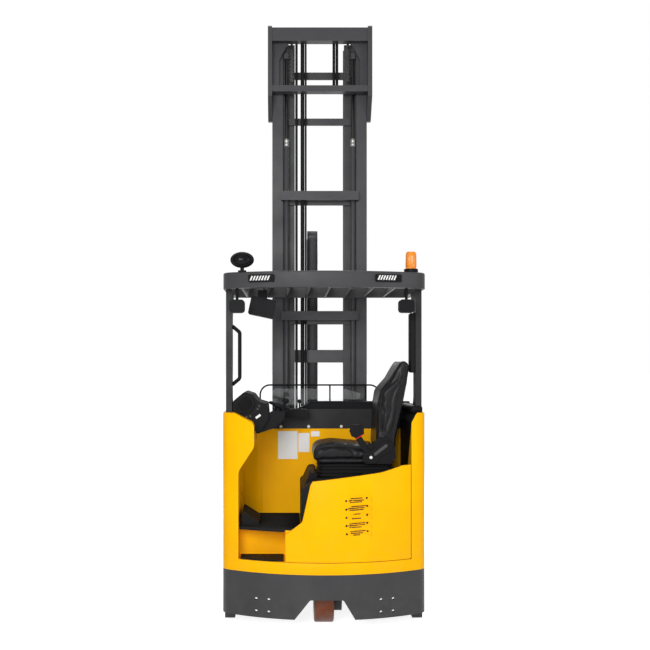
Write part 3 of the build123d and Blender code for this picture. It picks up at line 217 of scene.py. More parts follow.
def make_skin_group():
    """Fine skin of paint or plastic: a height for bump and a slow mottle."""
    group, start, end = new_group("skin", (("Scale", 900.0),), ("Height", "Mottle"))
    group.links.new(noise_node(group, start.outputs["Scale"], 2.0), end.inputs["Height"])
    group.links.new(noise_node(group, 5.0, 4.0), end.inputs["Mottle"])
    return group


def make_edge_group():
    """Rubbed edges: where a rounded normal leaves the true one, broken up by noise."""
    group, start, end = new_group("edge_rub", (("Breakup", 40.0),), ("Mask",))
    bevel = group.nodes.new("ShaderNodeBevel")
    bevel.samples = 4
    bevel.inputs["Radius"].default_value = EDGE_RADIUS
    shape = group.nodes.new("ShaderNodeNewGeometry")
    dot = group.nodes.new("ShaderNodeVectorMath")
    dot.operation = "DOT_PRODUCT"
    group.links.new(bevel.outputs[0], dot.inputs[0])
    group.links.new(shape.outputs["Normal"], dot.inputs[1])
    off = math_node(group, "SUBTRACT", 1.0, dot.outputs["Value"])
    rim = spread(group, off, 0.02, 0.22)
    noise = spread(group, noise_node(group, start.outputs["Breakup"], 5.0, 0.7), 0.42, 0.66)
    group.links.new(math_node(group, "MULTIPLY", rim, noise), end.inputs["Mask"])
    return group


def make_dust_group():
    """Dust and splash that thins out with height above the floor."""
    group, start, end = new_group("low_dust", (("Top", 0.5), ("Scale", 14.0)), ("Mask",))
    place = group.nodes.new("ShaderNodeTexCoord")
    split = group.nodes.new("ShaderNodeSeparateXYZ")
    group.links.new(place.outputs["Object"], split.inputs[0])
    low = math_node(group, "DIVIDE", split.outputs["Z"], start.outputs["Top"])
    fade = math_node(group, "SUBTRACT", 1.0, low, clamp=True)
    noise = spread(group, noise_node(group, start.outputs["Scale"], 6.0, 0.65), 0.40, 0.75)
    group.links.new(math_node(group, "MULTIPLY", fade, noise), end.inputs["Mask"])
    return group


def make_pebble_group():
    """Pebbled grain of leatherette, with shallow wrinkles."""
    group, start, end = new_group("pebble", (("Scale", 420.0),), ("Height", "Shade"))
    place = group.nodes.new("ShaderNodeTexCoord")
    cells = group.nodes.new("ShaderNodeTexVoronoi")
    cells.feature = "SMOOTH_F1"
    group.links.new(place.outputs["Object"], cells.inputs["Vector"])
    group.links.new(start.outputs["Scale"], cells.inputs["Scale"])
    wrinkle = noise_node(group, 26.0, 5.0, 0.6)
    height = math_node(group, "ADD", cells.outputs["Distance"], math_node(group, "MULTIPLY", wrinkle, 1.6))
    group.links.new(height, end.inputs["Height"])
    group.links.new(wrinkle, end.inputs["Shade"])
    return group


SKIN = make_skin_group()
EDGE = make_edge_group()
DUST = make_dust_group()
PEBBLE = make_pebble_group()
print("shader groups", [group.name for group in (SKIN, EDGE, DUST, PEBBLE)])

# %% [markdown]
# The truck wears two paints, a satin yellow and a dark grey with a fine texture. Around them are moulded
# plastic, rubber, leatherette, ground steel, cast polyurethane and clear sheet. Each material mixes its own
# colour with the shared effects: a mottle keeps large panels from looking flat, and rubbed edges and dust
# tell where hands and feet go.

# %% Materials
MOTTLE_SPAN = (0.35, 0.68)      # of the noise, stretched over the mottle


def blank_material(name):
    material = bpy.data.materials.new(name)
    material.use_nodes = True
    return material, material.node_tree, material.node_tree.nodes["Principled BSDF"]


def place_group(tree, group, **values):
    node = tree.nodes.new("ShaderNodeGroup")
    node.node_tree = group
    for socket, value in values.items():
        node.inputs[socket].default_value = value
    return node


def mix_colour(tree, first, second, factor):
    """Colour mix; first is a socket or a colour."""
    mix = tree.nodes.new("ShaderNodeMix")
    mix.data_type = "RGBA"
    for index, value in ((6, first), (7, second)):
        if isinstance(value, tuple):
            mix.inputs[index].default_value = (*value, 1)
        else:
            tree.links.new(value, mix.inputs[index])
    tree.links.new(factor, mix.inputs[0])
    return mix.outputs[2]


def add_bump(tree, shader, height, strength, distance):
    bump = tree.nodes.new("ShaderNodeBump")
    bump.inputs["Strength"].default_value = strength
    bump.inputs["Distance"].default_value = distance
    tree.links.new(height, bump.inputs["Height"])
    tree.links.new(bump.outputs[0], shader.inputs["Normal"])


def finish_material(name, colour, shade, rough, skin, edge=None, dust=None, metallic=0.0, gloss=0.3):
    """A coloured surface. shade is the mottle's second colour, rough its low and high roughness,
    skin (scale, strength, distance), edge (colour, amount) and dust (colour, top, amount)."""
    material, tree, shader = blank_material(name)
    texture = place_group(tree, SKIN, Scale=skin[0])
    mottle = spread(tree, texture.outputs["Mottle"], *MOTTLE_SPAN)
    paint = mix_colour(tree, colour, shade, mottle)
    roughness = spread(tree, texture.outputs["Mottle"], *MOTTLE_SPAN, *rough)
    if dust:
        low = place_group(tree, DUST, Top=dust[1])
        dusty = math_node(tree, "MULTIPLY", low.outputs["Mask"], dust[2])
        paint = mix_colour(tree, paint, dust[0], dusty)
    if edge:
        rub = place_group(tree, EDGE)
        worn = math_node(tree, "MULTIPLY", rub.outputs["Mask"], edge[1])
        paint = mix_colour(tree, paint, edge[0], worn)
    tree.links.new(paint, shader.inputs["Base Color"])
    tree.links.new(roughness, shader.inputs["Roughness"])
    shader.inputs["Metallic"].default_value = metallic
    shader.inputs["Specular IOR Level"].default_value = gloss
    add_bump(tree, shader, texture.outputs["Height"], skin[1], skin[2])
    return material


DUST_GREY = (0.30, 0.28, 0.25)
yellow_paint = finish_material(
    "yellow_paint", (0.94, 0.46, 0.001), (0.90, 0.43, 0.001), (0.34, 0.42), (700.0, 0.05, 0.0006),
    edge=((1.0, 0.60, 0.06), 0.4), dust=(DUST_GREY, 0.75, 0.08), gloss=0.05,
)
dark_paint = finish_material(
    "dark_paint", (0.036, 0.036, 0.038), (0.029, 0.029, 0.031), (0.42, 0.55), (1100.0, 0.10, 0.0006),
    edge=((0.13, 0.13, 0.135), 0.5), dust=(DUST_GREY, 0.30, 0.08), gloss=0.25,
)
mast_paint = finish_material(
    "mast_paint", (0.040, 0.040, 0.043), (0.032, 0.032, 0.035), (0.38, 0.50), (900.0, 0.08, 0.0006),
    edge=((0.16, 0.16, 0.17), 0.7), gloss=0.25,
)
# painted shade: a darker copy of dark_paint for the parts that lie in shade, the upper bulkhead and the
# roof's posts
shaded_paint = finish_material(
    "shaded_paint", (0.018, 0.018, 0.019), (0.014, 0.014, 0.015), (0.42, 0.55), (1100.0, 0.10, 0.0006),
    edge=((0.08, 0.08, 0.083), 0.5), gloss=0.15,
)
black_plastic = finish_material(
    "black_plastic", (0.006, 0.006, 0.007), (0.009, 0.009, 0.010), (0.42, 0.56), (1500.0, 0.16, 0.0005),
    edge=((0.05, 0.05, 0.05), 0.4), gloss=0.06,
)
black_rubber = finish_material(
    "black_rubber", (0.008, 0.008, 0.008), (0.013, 0.013, 0.013), (0.60, 0.78), (1300.0, 0.20, 0.0006),
    dust=(DUST_GREY, 1.0, 0.04), gloss=0.08,
)
ground_steel = finish_material(
    "ground_steel", (0.58, 0.58, 0.58), (0.48, 0.48, 0.48), (0.22, 0.34), (1800.0, 0.06, 0.0004),
    metallic=1.0,
)
zinc = finish_material(
    "zinc", (0.26, 0.26, 0.25), (0.18, 0.18, 0.17), (0.30, 0.42), (1600.0, 0.08, 0.0004),
    metallic=1.0,
)
# oiled steel for the chains; on the lift rods, whose real chrome is bright, its dark colour is painted shade
oiled_steel_and_painted_shade = finish_material(
    "oiled_steel_and_painted_shade", (0.045, 0.044, 0.043), (0.026, 0.025, 0.025), (0.30, 0.48), (1600.0, 0.10, 0.0004),
    metallic=1.0,
)
polyurethane = finish_material(
    "polyurethane", (0.155, 0.030, 0.004), (0.110, 0.022, 0.004), (0.34, 0.50), (600.0, 0.10, 0.0008),
    dust=(DUST_GREY, 0.25, 0.25),
)
print("materials so far", len(bpy.data.materials))

# %% [markdown]
# Leatherette is a soft skin with pebbled grain and a low sheen. The amber lens and the clear sheets let
# light through, so they keep a plain transmission and only their bump changes over the surface.

# %% Soft and clear materials
WRINKLE_SPAN = (0.35, 0.70)


def make_leatherette():
    material, tree, shader = blank_material("leatherette")
    grain = place_group(tree, PEBBLE, Scale=420.0)
    shade = spread(tree, grain.outputs["Shade"], *WRINKLE_SPAN)
    colour = mix_colour(tree, (0.005, 0.005, 0.006), (0.009, 0.009, 0.010), shade)
    tree.links.new(colour, shader.inputs["Base Color"])
    roughness = spread(tree, grain.outputs["Shade"], *WRINKLE_SPAN, 0.30, 0.44)
    tree.links.new(roughness, shader.inputs["Roughness"])
    shader.inputs["Specular IOR Level"].default_value = 0.12
    add_bump(tree, shader, grain.outputs["Height"], 0.35, 0.0008)
    return material


def make_clear(name, colour, roughness, transmission):
    material, tree, shader = blank_material(name)
    shader.inputs["Base Color"].default_value = (*colour, 1)
    shader.inputs["Transmission Weight"].default_value = transmission
    shader.inputs["IOR"].default_value = 1.49
    skin = place_group(tree, SKIN, Scale=60.0)
    uneven = spread(tree, skin.outputs["Mottle"], 0.3, 0.7, roughness, roughness + 0.05)
    tree.links.new(uneven, shader.inputs["Roughness"])
    add_bump(tree, shader, skin.outputs["Height"], 0.02, 0.0005)
    return material


def make_glow(name, colour, strength):
    """Lit face of a lamp, dimmed by fine prisms."""
    material, tree, shader = blank_material(name)
    skin = place_group(tree, SKIN, Scale=300.0)
    shade = spread(tree, skin.outputs["Height"], 0.3, 0.7)
    tone = mix_colour(tree, colour, tuple(c * 0.8 for c in colour), shade)
    tree.links.new(tone, shader.inputs["Base Color"])
    tree.links.new(tone, shader.inputs["Emission Color"])
    shader.inputs["Emission Strength"].default_value = strength
    shader.inputs["Roughness"].default_value = 0.25
    return material


leatherette = make_leatherette()
amber = make_clear("amber_lens", (0.86, 0.25, 0.0), 0.10, 0.12)
clear_sheet = make_clear("clear_sheet", (0.93, 0.95, 0.95), 0.02, 1.0)
lamp_white = make_glow("lamp_white", (0.75, 0.76, 0.74), 0.10)
dark_glass = finish_material(
    "dark_glass", (0.004, 0.004, 0.005), (0.008, 0.008, 0.009), (0.05, 0.09), (80.0, 0.01, 0.0004),
    gloss=0.08,
)
red_plastic = finish_material(
    "red_plastic", (0.55, 0.012, 0.006), (0.45, 0.010, 0.006), (0.30, 0.40), (900.0, 0.05, 0.0004),
)
pale_plate = finish_material(
    "pale_plate", (0.80, 0.80, 0.79), (0.72, 0.72, 0.71), (0.35, 0.45), (700.0, 0.04, 0.0004),
)
stitch_grey = finish_material(
    "stitch_grey", (0.035, 0.035, 0.036), (0.05, 0.05, 0.05), (0.6, 0.7), (2000.0, 0.2, 0.0004),
)
print("materials", len(bpy.data.materials))

# %% [markdown]
# A CAD solid whose shape is right stays as it is. It only gets its finish, and a weld and a small bevel so
# that its edges catch the light as rounded sheet metal does. The modifiers leave the solid's own mesh
# alone.

# %% Finish the solids
SOLID_FINISH = {
    "yellow_paint": yellow_paint,
    "dark_paint": dark_paint,
    "black_plastic": black_plastic,
    "black_rubber": black_rubber,
    "seat_leatherette": leatherette,
    "bright_steel": ground_steel,
    "polyurethane": polyurethane,
    "amber_lens": amber,
    "clear_screen": clear_sheet,
    "chain_steel": oiled_steel_and_painted_shade,
}
MAST_NODES = (
    "outer_rails", "outer_bars", "head_portal", "reach_frame", "middle_rails", "middle_bars",
    "inner_rails", "inner_bars", "carriage", "tilt_frame", "shift_carriage", "forks", "lift_cylinders",
    "free_lift_cylinder",
)
# parts that take the painted shade of shaded_paint
SHADED_NODES = ("bulkhead_upper", "guard_post_left", "guard_post_right")
PLAIN_NODES = ("clear_screen", "beacon_lens", "lift_chains", "hoses", "steering_wheel", "skirt")   # no bevel
WELD_DISTANCE = 0.00005
BEVEL_WIDTH = 0.003
BEVEL_ANGLE = math.radians(40)


def soften(node):
    """Weld the solid's facets and round its sharp edges."""
    weld = node.modifiers.new("weld", "WELD")
    weld.merge_threshold = WELD_DISTANCE
    bevel = node.modifiers.new("bevel", "BEVEL")
    bevel.width = BEVEL_WIDTH
    bevel.segments = 2
    bevel.limit_method = "ANGLE"
    bevel.angle_limit = BEVEL_ANGLE
    bevel.harden_normals = False
    bevel.use_clamp_overlap = True


slot_of = {row["node"]: row["material_slot"] for row in frame["record"]["subparts"]}
for name, node in nodes.items():
    material = SOLID_FINISH[slot_of[name]]
    if name in MAST_NODES:
        material = mast_paint
    elif name in SHADED_NODES:
        material = shaded_paint
    # painted shade: the bright chrome lift rods take the dark oiled steel
    elif name == "lift_rods":
        material = oiled_steel_and_painted_shade
    node.data.materials.clear()
    node.data.materials.append(material)
    if name not in PLAIN_NODES:
        soften(node)
print("finished", len(nodes), "solids")

# %% [markdown]
# The next pieces are made of meshes that the script builds itself. A few helpers keep that short: one turns
# a bmesh into a piece that rides a body, one finds the point where a ray meets a solid, and one turns a
# pixel of the photograph into a place at a known depth, so that a detail sits on the panel that carries it.

# %% Helpers for new pieces
BEHIND_Y = -6.0         # rays from behind the truck start here
FORWARD = (0, 1, 0)
REARWARD = (0, -1, 0)
DOWNWARD = (0, 0, -1)
MERGE_DISTANCE = 0.0001


def add_piece(name, mesh, material, body, smooth=True):
    piece = bpy.data.objects.new(name, mesh)
    scene.collection.objects.link(piece)
    mesh.materials.clear()
    mesh.materials.append(material)
    for face in mesh.polygons:
        face.use_smooth = smooth
    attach(piece, body)
    return piece


def mesh_from(name, bm):
    bmesh.ops.recalc_face_normals(bm, faces=bm.faces)
    mesh = bpy.data.meshes.new(name)
    bm.to_mesh(mesh)
    bm.free()
    return mesh


def add_built(name, bm, material, smooth=True, body="chassis"):
    """Piece from a bmesh."""
    return add_piece(name, mesh_from(name, bm), material, body, smooth)


def at_pixel(px, py, y):
    """Place in the frame of a pixel of the photograph, on the plane at depth y."""
    scale = (y - REAR_Y + CAMERA_BACK) / FOCAL_PIXELS
    across, up = px - AXIS_PIXEL[0], AXIS_PIXEL[1] - py
    return Vector((CAMERA_X + across * scale, y, CAMERA_Z + up * scale))


def hit_from_rear(target, x, z):
    """Point and normal where a ray from behind the truck meets an object."""
    found, point, normal, _ = target.ray_cast((x, BEHIND_Y, z), FORWARD)
    if not found:
        raise ValueError(f"nothing at {x:.3f}, {z:.3f} on {target.name}")
    return point, normal


def circle(radius, count):
    """Points round a circle, as pairs."""
    turns = [math.tau * i / count for i in range(count)]
    return [(radius * math.cos(turn), radius * math.sin(turn)) for turn in turns]


def standing_on(place, normal):
    """Matrix that sets a piece drawn about Z on a surface."""
    turn = Vector(normal).to_track_quat("Z", "Y").to_matrix().to_4x4()
    return Matrix.Translation(place) @ turn


def ring_mesh(bm, rings, close=True):
    """Skin over rings with the same number of points; both ends are capped where close is set."""
    rows = [[bm.verts.new(point) for point in ring] for ring in rings]
    count = len(rows[0])
    for low, high in zip(rows, rows[1:]):
        for i in range(count):
            j = (i + 1) % count
            bm.faces.new((low[i], low[j], high[j], high[i]))
    if close:
        bm.faces.new(list(reversed(rows[0])))
        bm.faces.new(rows[-1])


def tube_mesh(name, points, radius):
    """Tube along a smooth line through points."""
    curve = bpy.data.curves.new(name, "CURVE")
    curve.dimensions = "3D"
    spline = curve.splines.new("NURBS")
    spline.points.add(len(points) - 1)
    for target, point in zip(spline.points, points):
        target.co = (*point, 1)
    spline.order_u = 3
    spline.use_endpoint_u = True
    curve.resolution_u = 6
    curve.bevel_depth = radius
    curve.bevel_resolution = 2
    curve.use_fill_caps = True
    holder = bpy.data.objects.new(name, curve)
    scene.collection.objects.link(holder)
    bpy.context.view_layer.update()
    graph = bpy.context.evaluated_depsgraph_get()
    mesh = bpy.data.meshes.new_from_object(holder.evaluated_get(graph))
    bpy.data.objects.remove(holder)
    return mesh


print("helpers ready")

# %% [markdown]
# The seat is foam under a tight leatherette cover. Blown up from the solid's own shape by the cloth solver,
# with a cap on how far a point may go, the pad gets the crowned faces and the soft corners of real
# upholstery.

# %% Padded seat
PAD_VOXEL = 0.007
PAD_SHRINK = 0.001
PAD_RELAX = 2
PAD_PRESSURE = 4
PAD_QUALITY = 4
PAD_CAP = 0.006
PAD_FRAMES = 16


def swell(pad):
    """Blow the pad up with the cloth solver and hold every point within the cap."""
    before = np.empty(len(pad.data.vertices) * 3)
    pad.data.vertices.foreach_get("co", before)
    cloth = pad.modifiers.new("cloth", "CLOTH")
    cloth.settings.use_pressure = True
    cloth.settings.uniform_pressure_force = PAD_PRESSURE
    cloth.settings.effector_weights.gravity = 0
    cloth.settings.quality = PAD_QUALITY
    cloth.collision_settings.use_collision = False
    cloth.point_cache.frame_start = 1
    cloth.point_cache.frame_end = PAD_FRAMES
    for step in range(1, PAD_FRAMES + 1):
        scene.frame_set(step)
    graph = bpy.context.evaluated_depsgraph_get()
    after = np.empty_like(before)
    pad.evaluated_get(graph).data.vertices.foreach_get("co", after)
    pad.modifiers.remove(cloth)
    scene.frame_set(1)
    move = (after - before).reshape(-1, 3)
    reach = np.linalg.norm(move, axis=1, keepdims=True)
    move *= np.minimum(1.0, PAD_CAP / np.maximum(reach, 1e-9))
    pad.data.vertices.foreach_set("co", (before.reshape(-1, 3) + move).ravel())
    pad.data.update()


def padded_piece(name, node_name):
    """Upholstered copy of a seat solid."""
    bm = bmesh.new()
    bm.from_mesh(nodes[node_name].data)
    bmesh.ops.remove_doubles(bm, verts=bm.verts, dist=MERGE_DISTANCE)
    pad = bpy.data.objects.new(name, mesh_from(name, bm))
    scene.collection.objects.link(pad)
    remesh = pad.modifiers.new("remesh", "REMESH")
    remesh.voxel_size = PAD_VOXEL
    shrink = pad.modifiers.new("shrink", "DISPLACE")
    shrink.strength = -PAD_SHRINK
    shrink.mid_level = 0.0
    relax = pad.modifiers.new("relax", "SMOOTH")
    relax.iterations = PAD_RELAX
    bpy.context.view_layer.update()
    graph = bpy.context.evaluated_depsgraph_get()
    pad.data = bpy.data.meshes.new_from_object(pad.evaluated_get(graph))
    pad.modifiers.clear()
    swell(pad)
    pad.data.materials.clear()
    pad.data.materials.append(leatherette)
    for face in pad.data.polygons:
        face.use_smooth = True
    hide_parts(node_name)
    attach(pad, "chassis")
    return pad


cushion = padded_piece("cushion_pad", "seat_cushion")
backrest = padded_piece("backrest_pad", "seat_back")
print("pads", len(cushion.data.vertices), len(backrest.data.vertices), "points")

# %% [markdown]
# Panels of the cover meet in seams. A seam pulls the foam in to a shallow groove, and here it is finished
# with a round piping. Both follow the same line, read from the photograph and laid on the pad by a ray.

# %% Seams and piping
SEAM_REACH = 0.016
SIDE_FACING = -0.2          # a point whose normal looks less to the rear is left alone
PIPING_STEP = 0.003         # a ray that misses the pad moves on by this
PIPING_STAND = 0.4          # share of the cord's radius that it stands off the pad
BACK_PIPING = (             # X, Z
    (0.454, 1.651), (0.443, 1.583), (0.412, 1.526), (0.370, 1.479), (0.360, 1.411), (0.357, 1.338),
    (0.362, 1.275), (0.367, 1.223),
)
BACK_SEAM = (
    (0.490, 1.560), (0.470, 1.515), (0.438, 1.472), (0.420, 1.411), (0.417, 1.348), (0.409, 1.307),
    (0.391, 1.260), (0.381, 1.223),
)
CUSHION_PIPING = (
    (-0.058, 1.075), (-0.052, 1.100), (-0.020, 1.121), (0.060, 1.127), (0.150, 1.122), (0.235, 1.113),
    (0.285, 1.100),
)
CUSHION_SEAM = ((-0.050, 1.040), (0.020, 1.047), (0.120, 1.048), (0.225, 1.046))
SEAMS = (                   # name, pad, line, groove's depth, cord's radius
    ("backrest_piping", backrest, BACK_PIPING, 0.004, 0.0035),
    ("backrest_seam", backrest, BACK_SEAM, 0.006, 0.0022),
    ("cushion_piping", cushion, CUSHION_PIPING, 0.004, 0.0035),
    ("cushion_seam", cushion, CUSHION_SEAM, 0.006, 0.0022),
)


def sunk_seam(pad, line, depth):
    """Pull the pad's side in along a seam line given as X, Z points."""
    path = [np.array(point) for point in line]
    for vertex in pad.data.vertices:
        if vertex.normal.y > SIDE_FACING:
            continue
        point = np.array((vertex.co.x, vertex.co.z))
        best = SEAM_REACH
        for start, end in zip(path, path[1:]):
            run = end - start
            share = min(1.0, max(0.0, float(np.dot(point - start, run) / np.dot(run, run))))
            best = min(best, float(np.linalg.norm(point - start - share * run)))
        vertex.co -= vertex.normal * depth * (1 - best / SEAM_REACH) ** 2
    pad.data.update()


def piping(name, pad, line, radius):
    """Round cord sewn into a seam on the pad's near side."""
    points = []
    for x, z in line:
        found = False
        while not found:
            found, point, normal, _ = pad.ray_cast((x, BEHIND_Y, z), FORWARD)
            x += PIPING_STEP
        points.append(point + normal * radius * PIPING_STAND)
    add_piece(name, tube_mesh(name, points, radius), leatherette, "chassis")


for _, pad, line, depth, _ in SEAMS:
    sunk_seam(pad, line, depth)
for name, pad, line, _, radius in SEAMS:
    piping(name, pad, line, radius)
print(len(SEAMS), "seams laid on the pads")

# %% [markdown]
# Under the cushion a rubber bellows hides the suspension. It is a sleeve of rounded folds, so it is lofted
# from rings: every ring is a rounded rectangle, and a wave along its height moves it in and out.

# %% Seat bellows
FOLDS = 4
FOLD_DEPTH = 0.011
FOLD_STEPS = 8
FOLD_ROUNDNESS = 0.8
SLEEVE_CORNER = 0.045
CORNER_STEPS = 5


def rounded_ring(x0, x1, y0, y1, inset, z, radius):
    """Rounded rectangle at a height, inset from the given sides."""
    left, right = x0 + inset + radius, x1 - inset - radius
    near, far = y0 + inset + radius, y1 - inset - radius
    ring = []
    for cx, cy, start in ((right, far, 0), (left, far, 90), (left, near, 180), (right, near, 270)):
        for step in range(CORNER_STEPS + 1):
            angle = math.radians(start + 90 * step / CORNER_STEPS)
            ring.append((cx + radius * math.cos(angle), cy + radius * math.sin(angle), z))
    return ring


def bellows():
    low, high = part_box("seat_bellows")
    rings = []
    count = FOLDS * FOLD_STEPS
    for step in range(count + 1):
        wave = abs(math.sin(math.pi * step / FOLD_STEPS)) ** FOLD_ROUNDNESS
        z = low.z + (high.z - low.z) * step / count
        inset = FOLD_DEPTH * (1 - wave)
        rings.append(rounded_ring(low.x, high.x, low.y, high.y, inset, z, SLEEVE_CORNER))
    bm = bmesh.new()
    ring_mesh(bm, rings)
    piece = add_built("bellows_sleeve", bm, black_rubber)
    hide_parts("seat_bellows")


bellows()
print("bellows of", FOLDS, "folds")

# %% [markdown]
# The recliner cover, the belt buckle and the adjusters are small mouldings on the seat's near side. A
# moulding is a flat outline with a rounded rim, so each one is drawn as a closed outline in X and Z, given
# a thickness towards the viewer, and bevelled.

# %% Mouldings
def moulding(name, outline, y_back, thickness, material, rim):
    """Plate with a rounded rim: a closed X, Z outline standing off towards the rear."""
    bm = bmesh.new()
    base = bm.faces.new([bm.verts.new((x, y_back, z)) for x, z in outline])
    grown = bmesh.ops.extrude_face_region(bm, geom=[base])
    for item in grown["geom"]:
        if isinstance(item, bmesh.types.BMVert):
            item.co.y -= thickness
    bmesh.ops.recalc_face_normals(bm, faces=bm.faces)
    edges = [edge for edge in bm.edges if all(abs(v.co.y - y_back + thickness) < 1e-6 for v in edge.verts)]
    bmesh.ops.bevel(bm, geom=edges, offset=rim, segments=3, profile=0.5, affect="EDGES")
    return add_built(name, bm, material, smooth=False)


def pixel_outline(pixels, y):
    """X, Z outline of a list of pixels on the plane at depth y."""
    return [(place.x, place.z) for place in (at_pixel(px, py, y) for px, py in pixels)]


def pixel_disc(px, py, y, radius, count=20):
    """X, Z outline of a disc about a pixel on the plane at depth y."""
    middle = at_pixel(px, py, y)
    return [(middle.x + across, middle.z + up) for across, up in circle(radius, count)]


print("moulding helpers ready")

# %% [markdown]
# The recliner's boss, lever and pin, the buckle with its button, and the lumbar knob differ only in outline,
# thickness and finish. A table holds these, so one loop makes them all.

# %% Recliner, buckle and adjusters
RECLINER_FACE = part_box("seat_recliner")[0].y
RECLINER_BOSS = (       # pixels
    (362.0, 461.5), (362.8, 456.5), (366.0, 452.2), (371.0, 450.6), (376.5, 447.0), (381.5, 442.0),
    (387.5, 440.2), (392.0, 442.2), (393.6, 446.5), (392.0, 451.5), (385.5, 454.6), (380.4, 457.6),
    (376.8, 463.4), (370.0, 464.2),
)
LEVER_BAR = ((373.6, 453.2), (385.6, 444.0), (387.2, 444.4), (387.6, 446.2), (375.6, 455.8), (374.0, 455.4))
BUCKLE_HEAD = (
    (349.4, 430.6), (352.2, 425.0), (359.6, 424.4), (363.6, 428.0), (364.0, 433.6), (357.0, 438.2),
    (351.6, 436.4),
)
BUCKLE_BUTTON = ((355.4, 437.4), (362.0, 433.2), (363.0, 435.0), (356.4, 439.2))
boss, lever, buckle, button = (
    pixel_outline(pixels, RECLINER_FACE) for pixels in (RECLINER_BOSS, LEVER_BAR, BUCKLE_HEAD, BUCKLE_BUTTON)
)
pin = pixel_disc(370.9, 457.4, RECLINER_FACE, 0.010)
knob = pixel_disc(370.5, 446.2, RECLINER_FACE, 0.020)
SEAT_MOULDINGS = (      # name, outline, back plane from the recliner's face, thickness, rim, material, slot
    ("recliner_boss", boss, 0.0, 0.006, 0.004, black_plastic, "black_plastic"),
    ("recliner_lever", lever, -0.006, 0.007, 0.003, stitch_grey, "black_plastic"),
    ("recliner_pin", pin, -0.006, 0.008, 0.004, pale_plate, "bright_steel"),
    ("buckle_head", buckle, 0.020, 0.034, 0.006, black_plastic, "black_plastic"),
    ("buckle_button", button, 0.014, 0.026, 0.002, red_plastic, "black_plastic"),
    ("lumbar_knob", knob, 0.004, 0.016, 0.004, black_plastic, "black_plastic"),
)
for name, outline, lift, thickness, rim, material, slot in SEAT_MOULDINGS:
    moulding(name, outline, RECLINER_FACE + lift, thickness, material, rim)
print(len(SEAT_MOULDINGS), "mouldings on the seat")

# %% [markdown]
# Bolts show all over a truck. A hexagon head on a washer is built once as a small mesh, and one piece holds
# all the bolts of a panel, each turned to the panel's own normal.

# %% Bolts and plates of the bulkhead
def bolt(bm, place, normal, radius, height):
    """A washer and a chamfered hexagon head, standing on a surface."""
    stand = standing_on(place, normal)
    washer = ((radius * 1.35, -0.0005, 24), (radius * 1.35, 0.0012, 24), (radius * 1.2, 0.0018, 24))
    head = ((radius, 0.0016, 6), (radius, height * 0.8, 6), (radius * 0.82, height, 6))
    for part in (washer, head):
        ring_mesh(bm, [
            [stand @ Vector((*point, up)) for point in circle(size, count)] for size, up, count in part
        ])


BULKHEAD_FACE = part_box("bulkhead_upper")[0].y
LOWER_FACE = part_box("bulkhead_lower")[0].y
BULKHEAD_BOLTS = ((281.0, 426.5), (308.7, 426.5), (341.3, 426.5))
BULKHEAD_BOLT_R = 0.0075
BULKHEAD_BOLT_UP = 0.006
PLATE_T = 0.0015
PLATE_RIM = 0.0006
PLATES = (       # left, top, right, bottom pixel of the bare plates on the bulkhead
    (278.0, 431.0, 297.6, 459.0),
    (298.4, 433.0, 309.5, 452.0),
    (311.0, 431.2, 319.5, 436.5),
)
bolts = bmesh.new()
for px, py in BULKHEAD_BOLTS:
    bolt(bolts, at_pixel(px, py, BULKHEAD_FACE), REARWARD, BULKHEAD_BOLT_R, BULKHEAD_BOLT_UP)
add_built("bulkhead_bolts", bolts, pale_plate, smooth=False)
for index, (left, top, right, bottom) in enumerate(PLATES):
    outline = pixel_outline(((left, bottom), (right, bottom), (right, top), (left, top)), LOWER_FACE)
    moulding(f"bare_plate_{index}", outline, LOWER_FACE, PLATE_T, pale_plate, PLATE_RIM)
print(len(BULKHEAD_BOLTS), "bolts and", len(PLATES), "plates on the bulkhead")

# %% [markdown]
# The cover behind the seat is pierced by five arched groups of vent holes. Cutting them would change the
# solid's own mesh, so each hole is a thin dark dish laid on the curved panel by a ray: its rim stands just
# proud of the paint, and its middle dips. The dish's black is painted shade, for the dark inside a hole.

# %% Vents
VENT_ENDS = (       # pixels of the larger hole at each end of a group
    (346.1, 500.8), (367.0, 498.3), (346.2, 509.4), (367.5, 506.3), (346.4, 517.6), (367.4, 515.2),
    (346.4, 525.7), (367.5, 523.3), (346.8, 534.0), (367.8, 531.5),
)
VENT_ROWS = (       # first and last pixel along a row of small holes, and its height
    (351.1, 362.0, 498.4), (349.0, 363.3, 500.4), (350.5, 361.5, 502.0),
    (351.0, 365.5, 506.4), (348.0, 364.0, 508.2), (350.0, 363.0, 509.9),
    (354.0, 360.0, 514.2), (352.5, 360.5, 518.4),
    (350.0, 365.0, 523.4), (348.5, 364.5, 525.3), (350.0, 361.0, 527.1),
    (351.0, 365.0, 531.3), (351.5, 362.5, 533.2), (354.0, 359.5, 534.9),
)
VENT_MIDDLE = 356.5
ROW_PITCH = 1.35
ROW_TILT = 0.05
COVER_DEPTH = 0.02      # of the curved cover behind its rearmost point, near the vents
HOLE_R = 0.0036
END_HOLE = 1.7          # size of the end holes against the small ones
HOLE_SIDES = 10
HOLE_PROFILE = ((1.25, -0.0010), (1.10, 0.0007), (0.95, 0.0006), (0.70, 0.0003))


def vent_spots():
    """Pixels and sizes of all holes."""
    spots = [(px, py, END_HOLE) for px, py in VENT_ENDS]
    for left, right, py in VENT_ROWS:
        count = max(2, round((right - left) / ROW_PITCH))
        for step in range(count + 1):
            px = left + (right - left) * step / count
            spots.append((px, py - ROW_TILT * (px - VENT_MIDDLE), 1.0))
    return spots


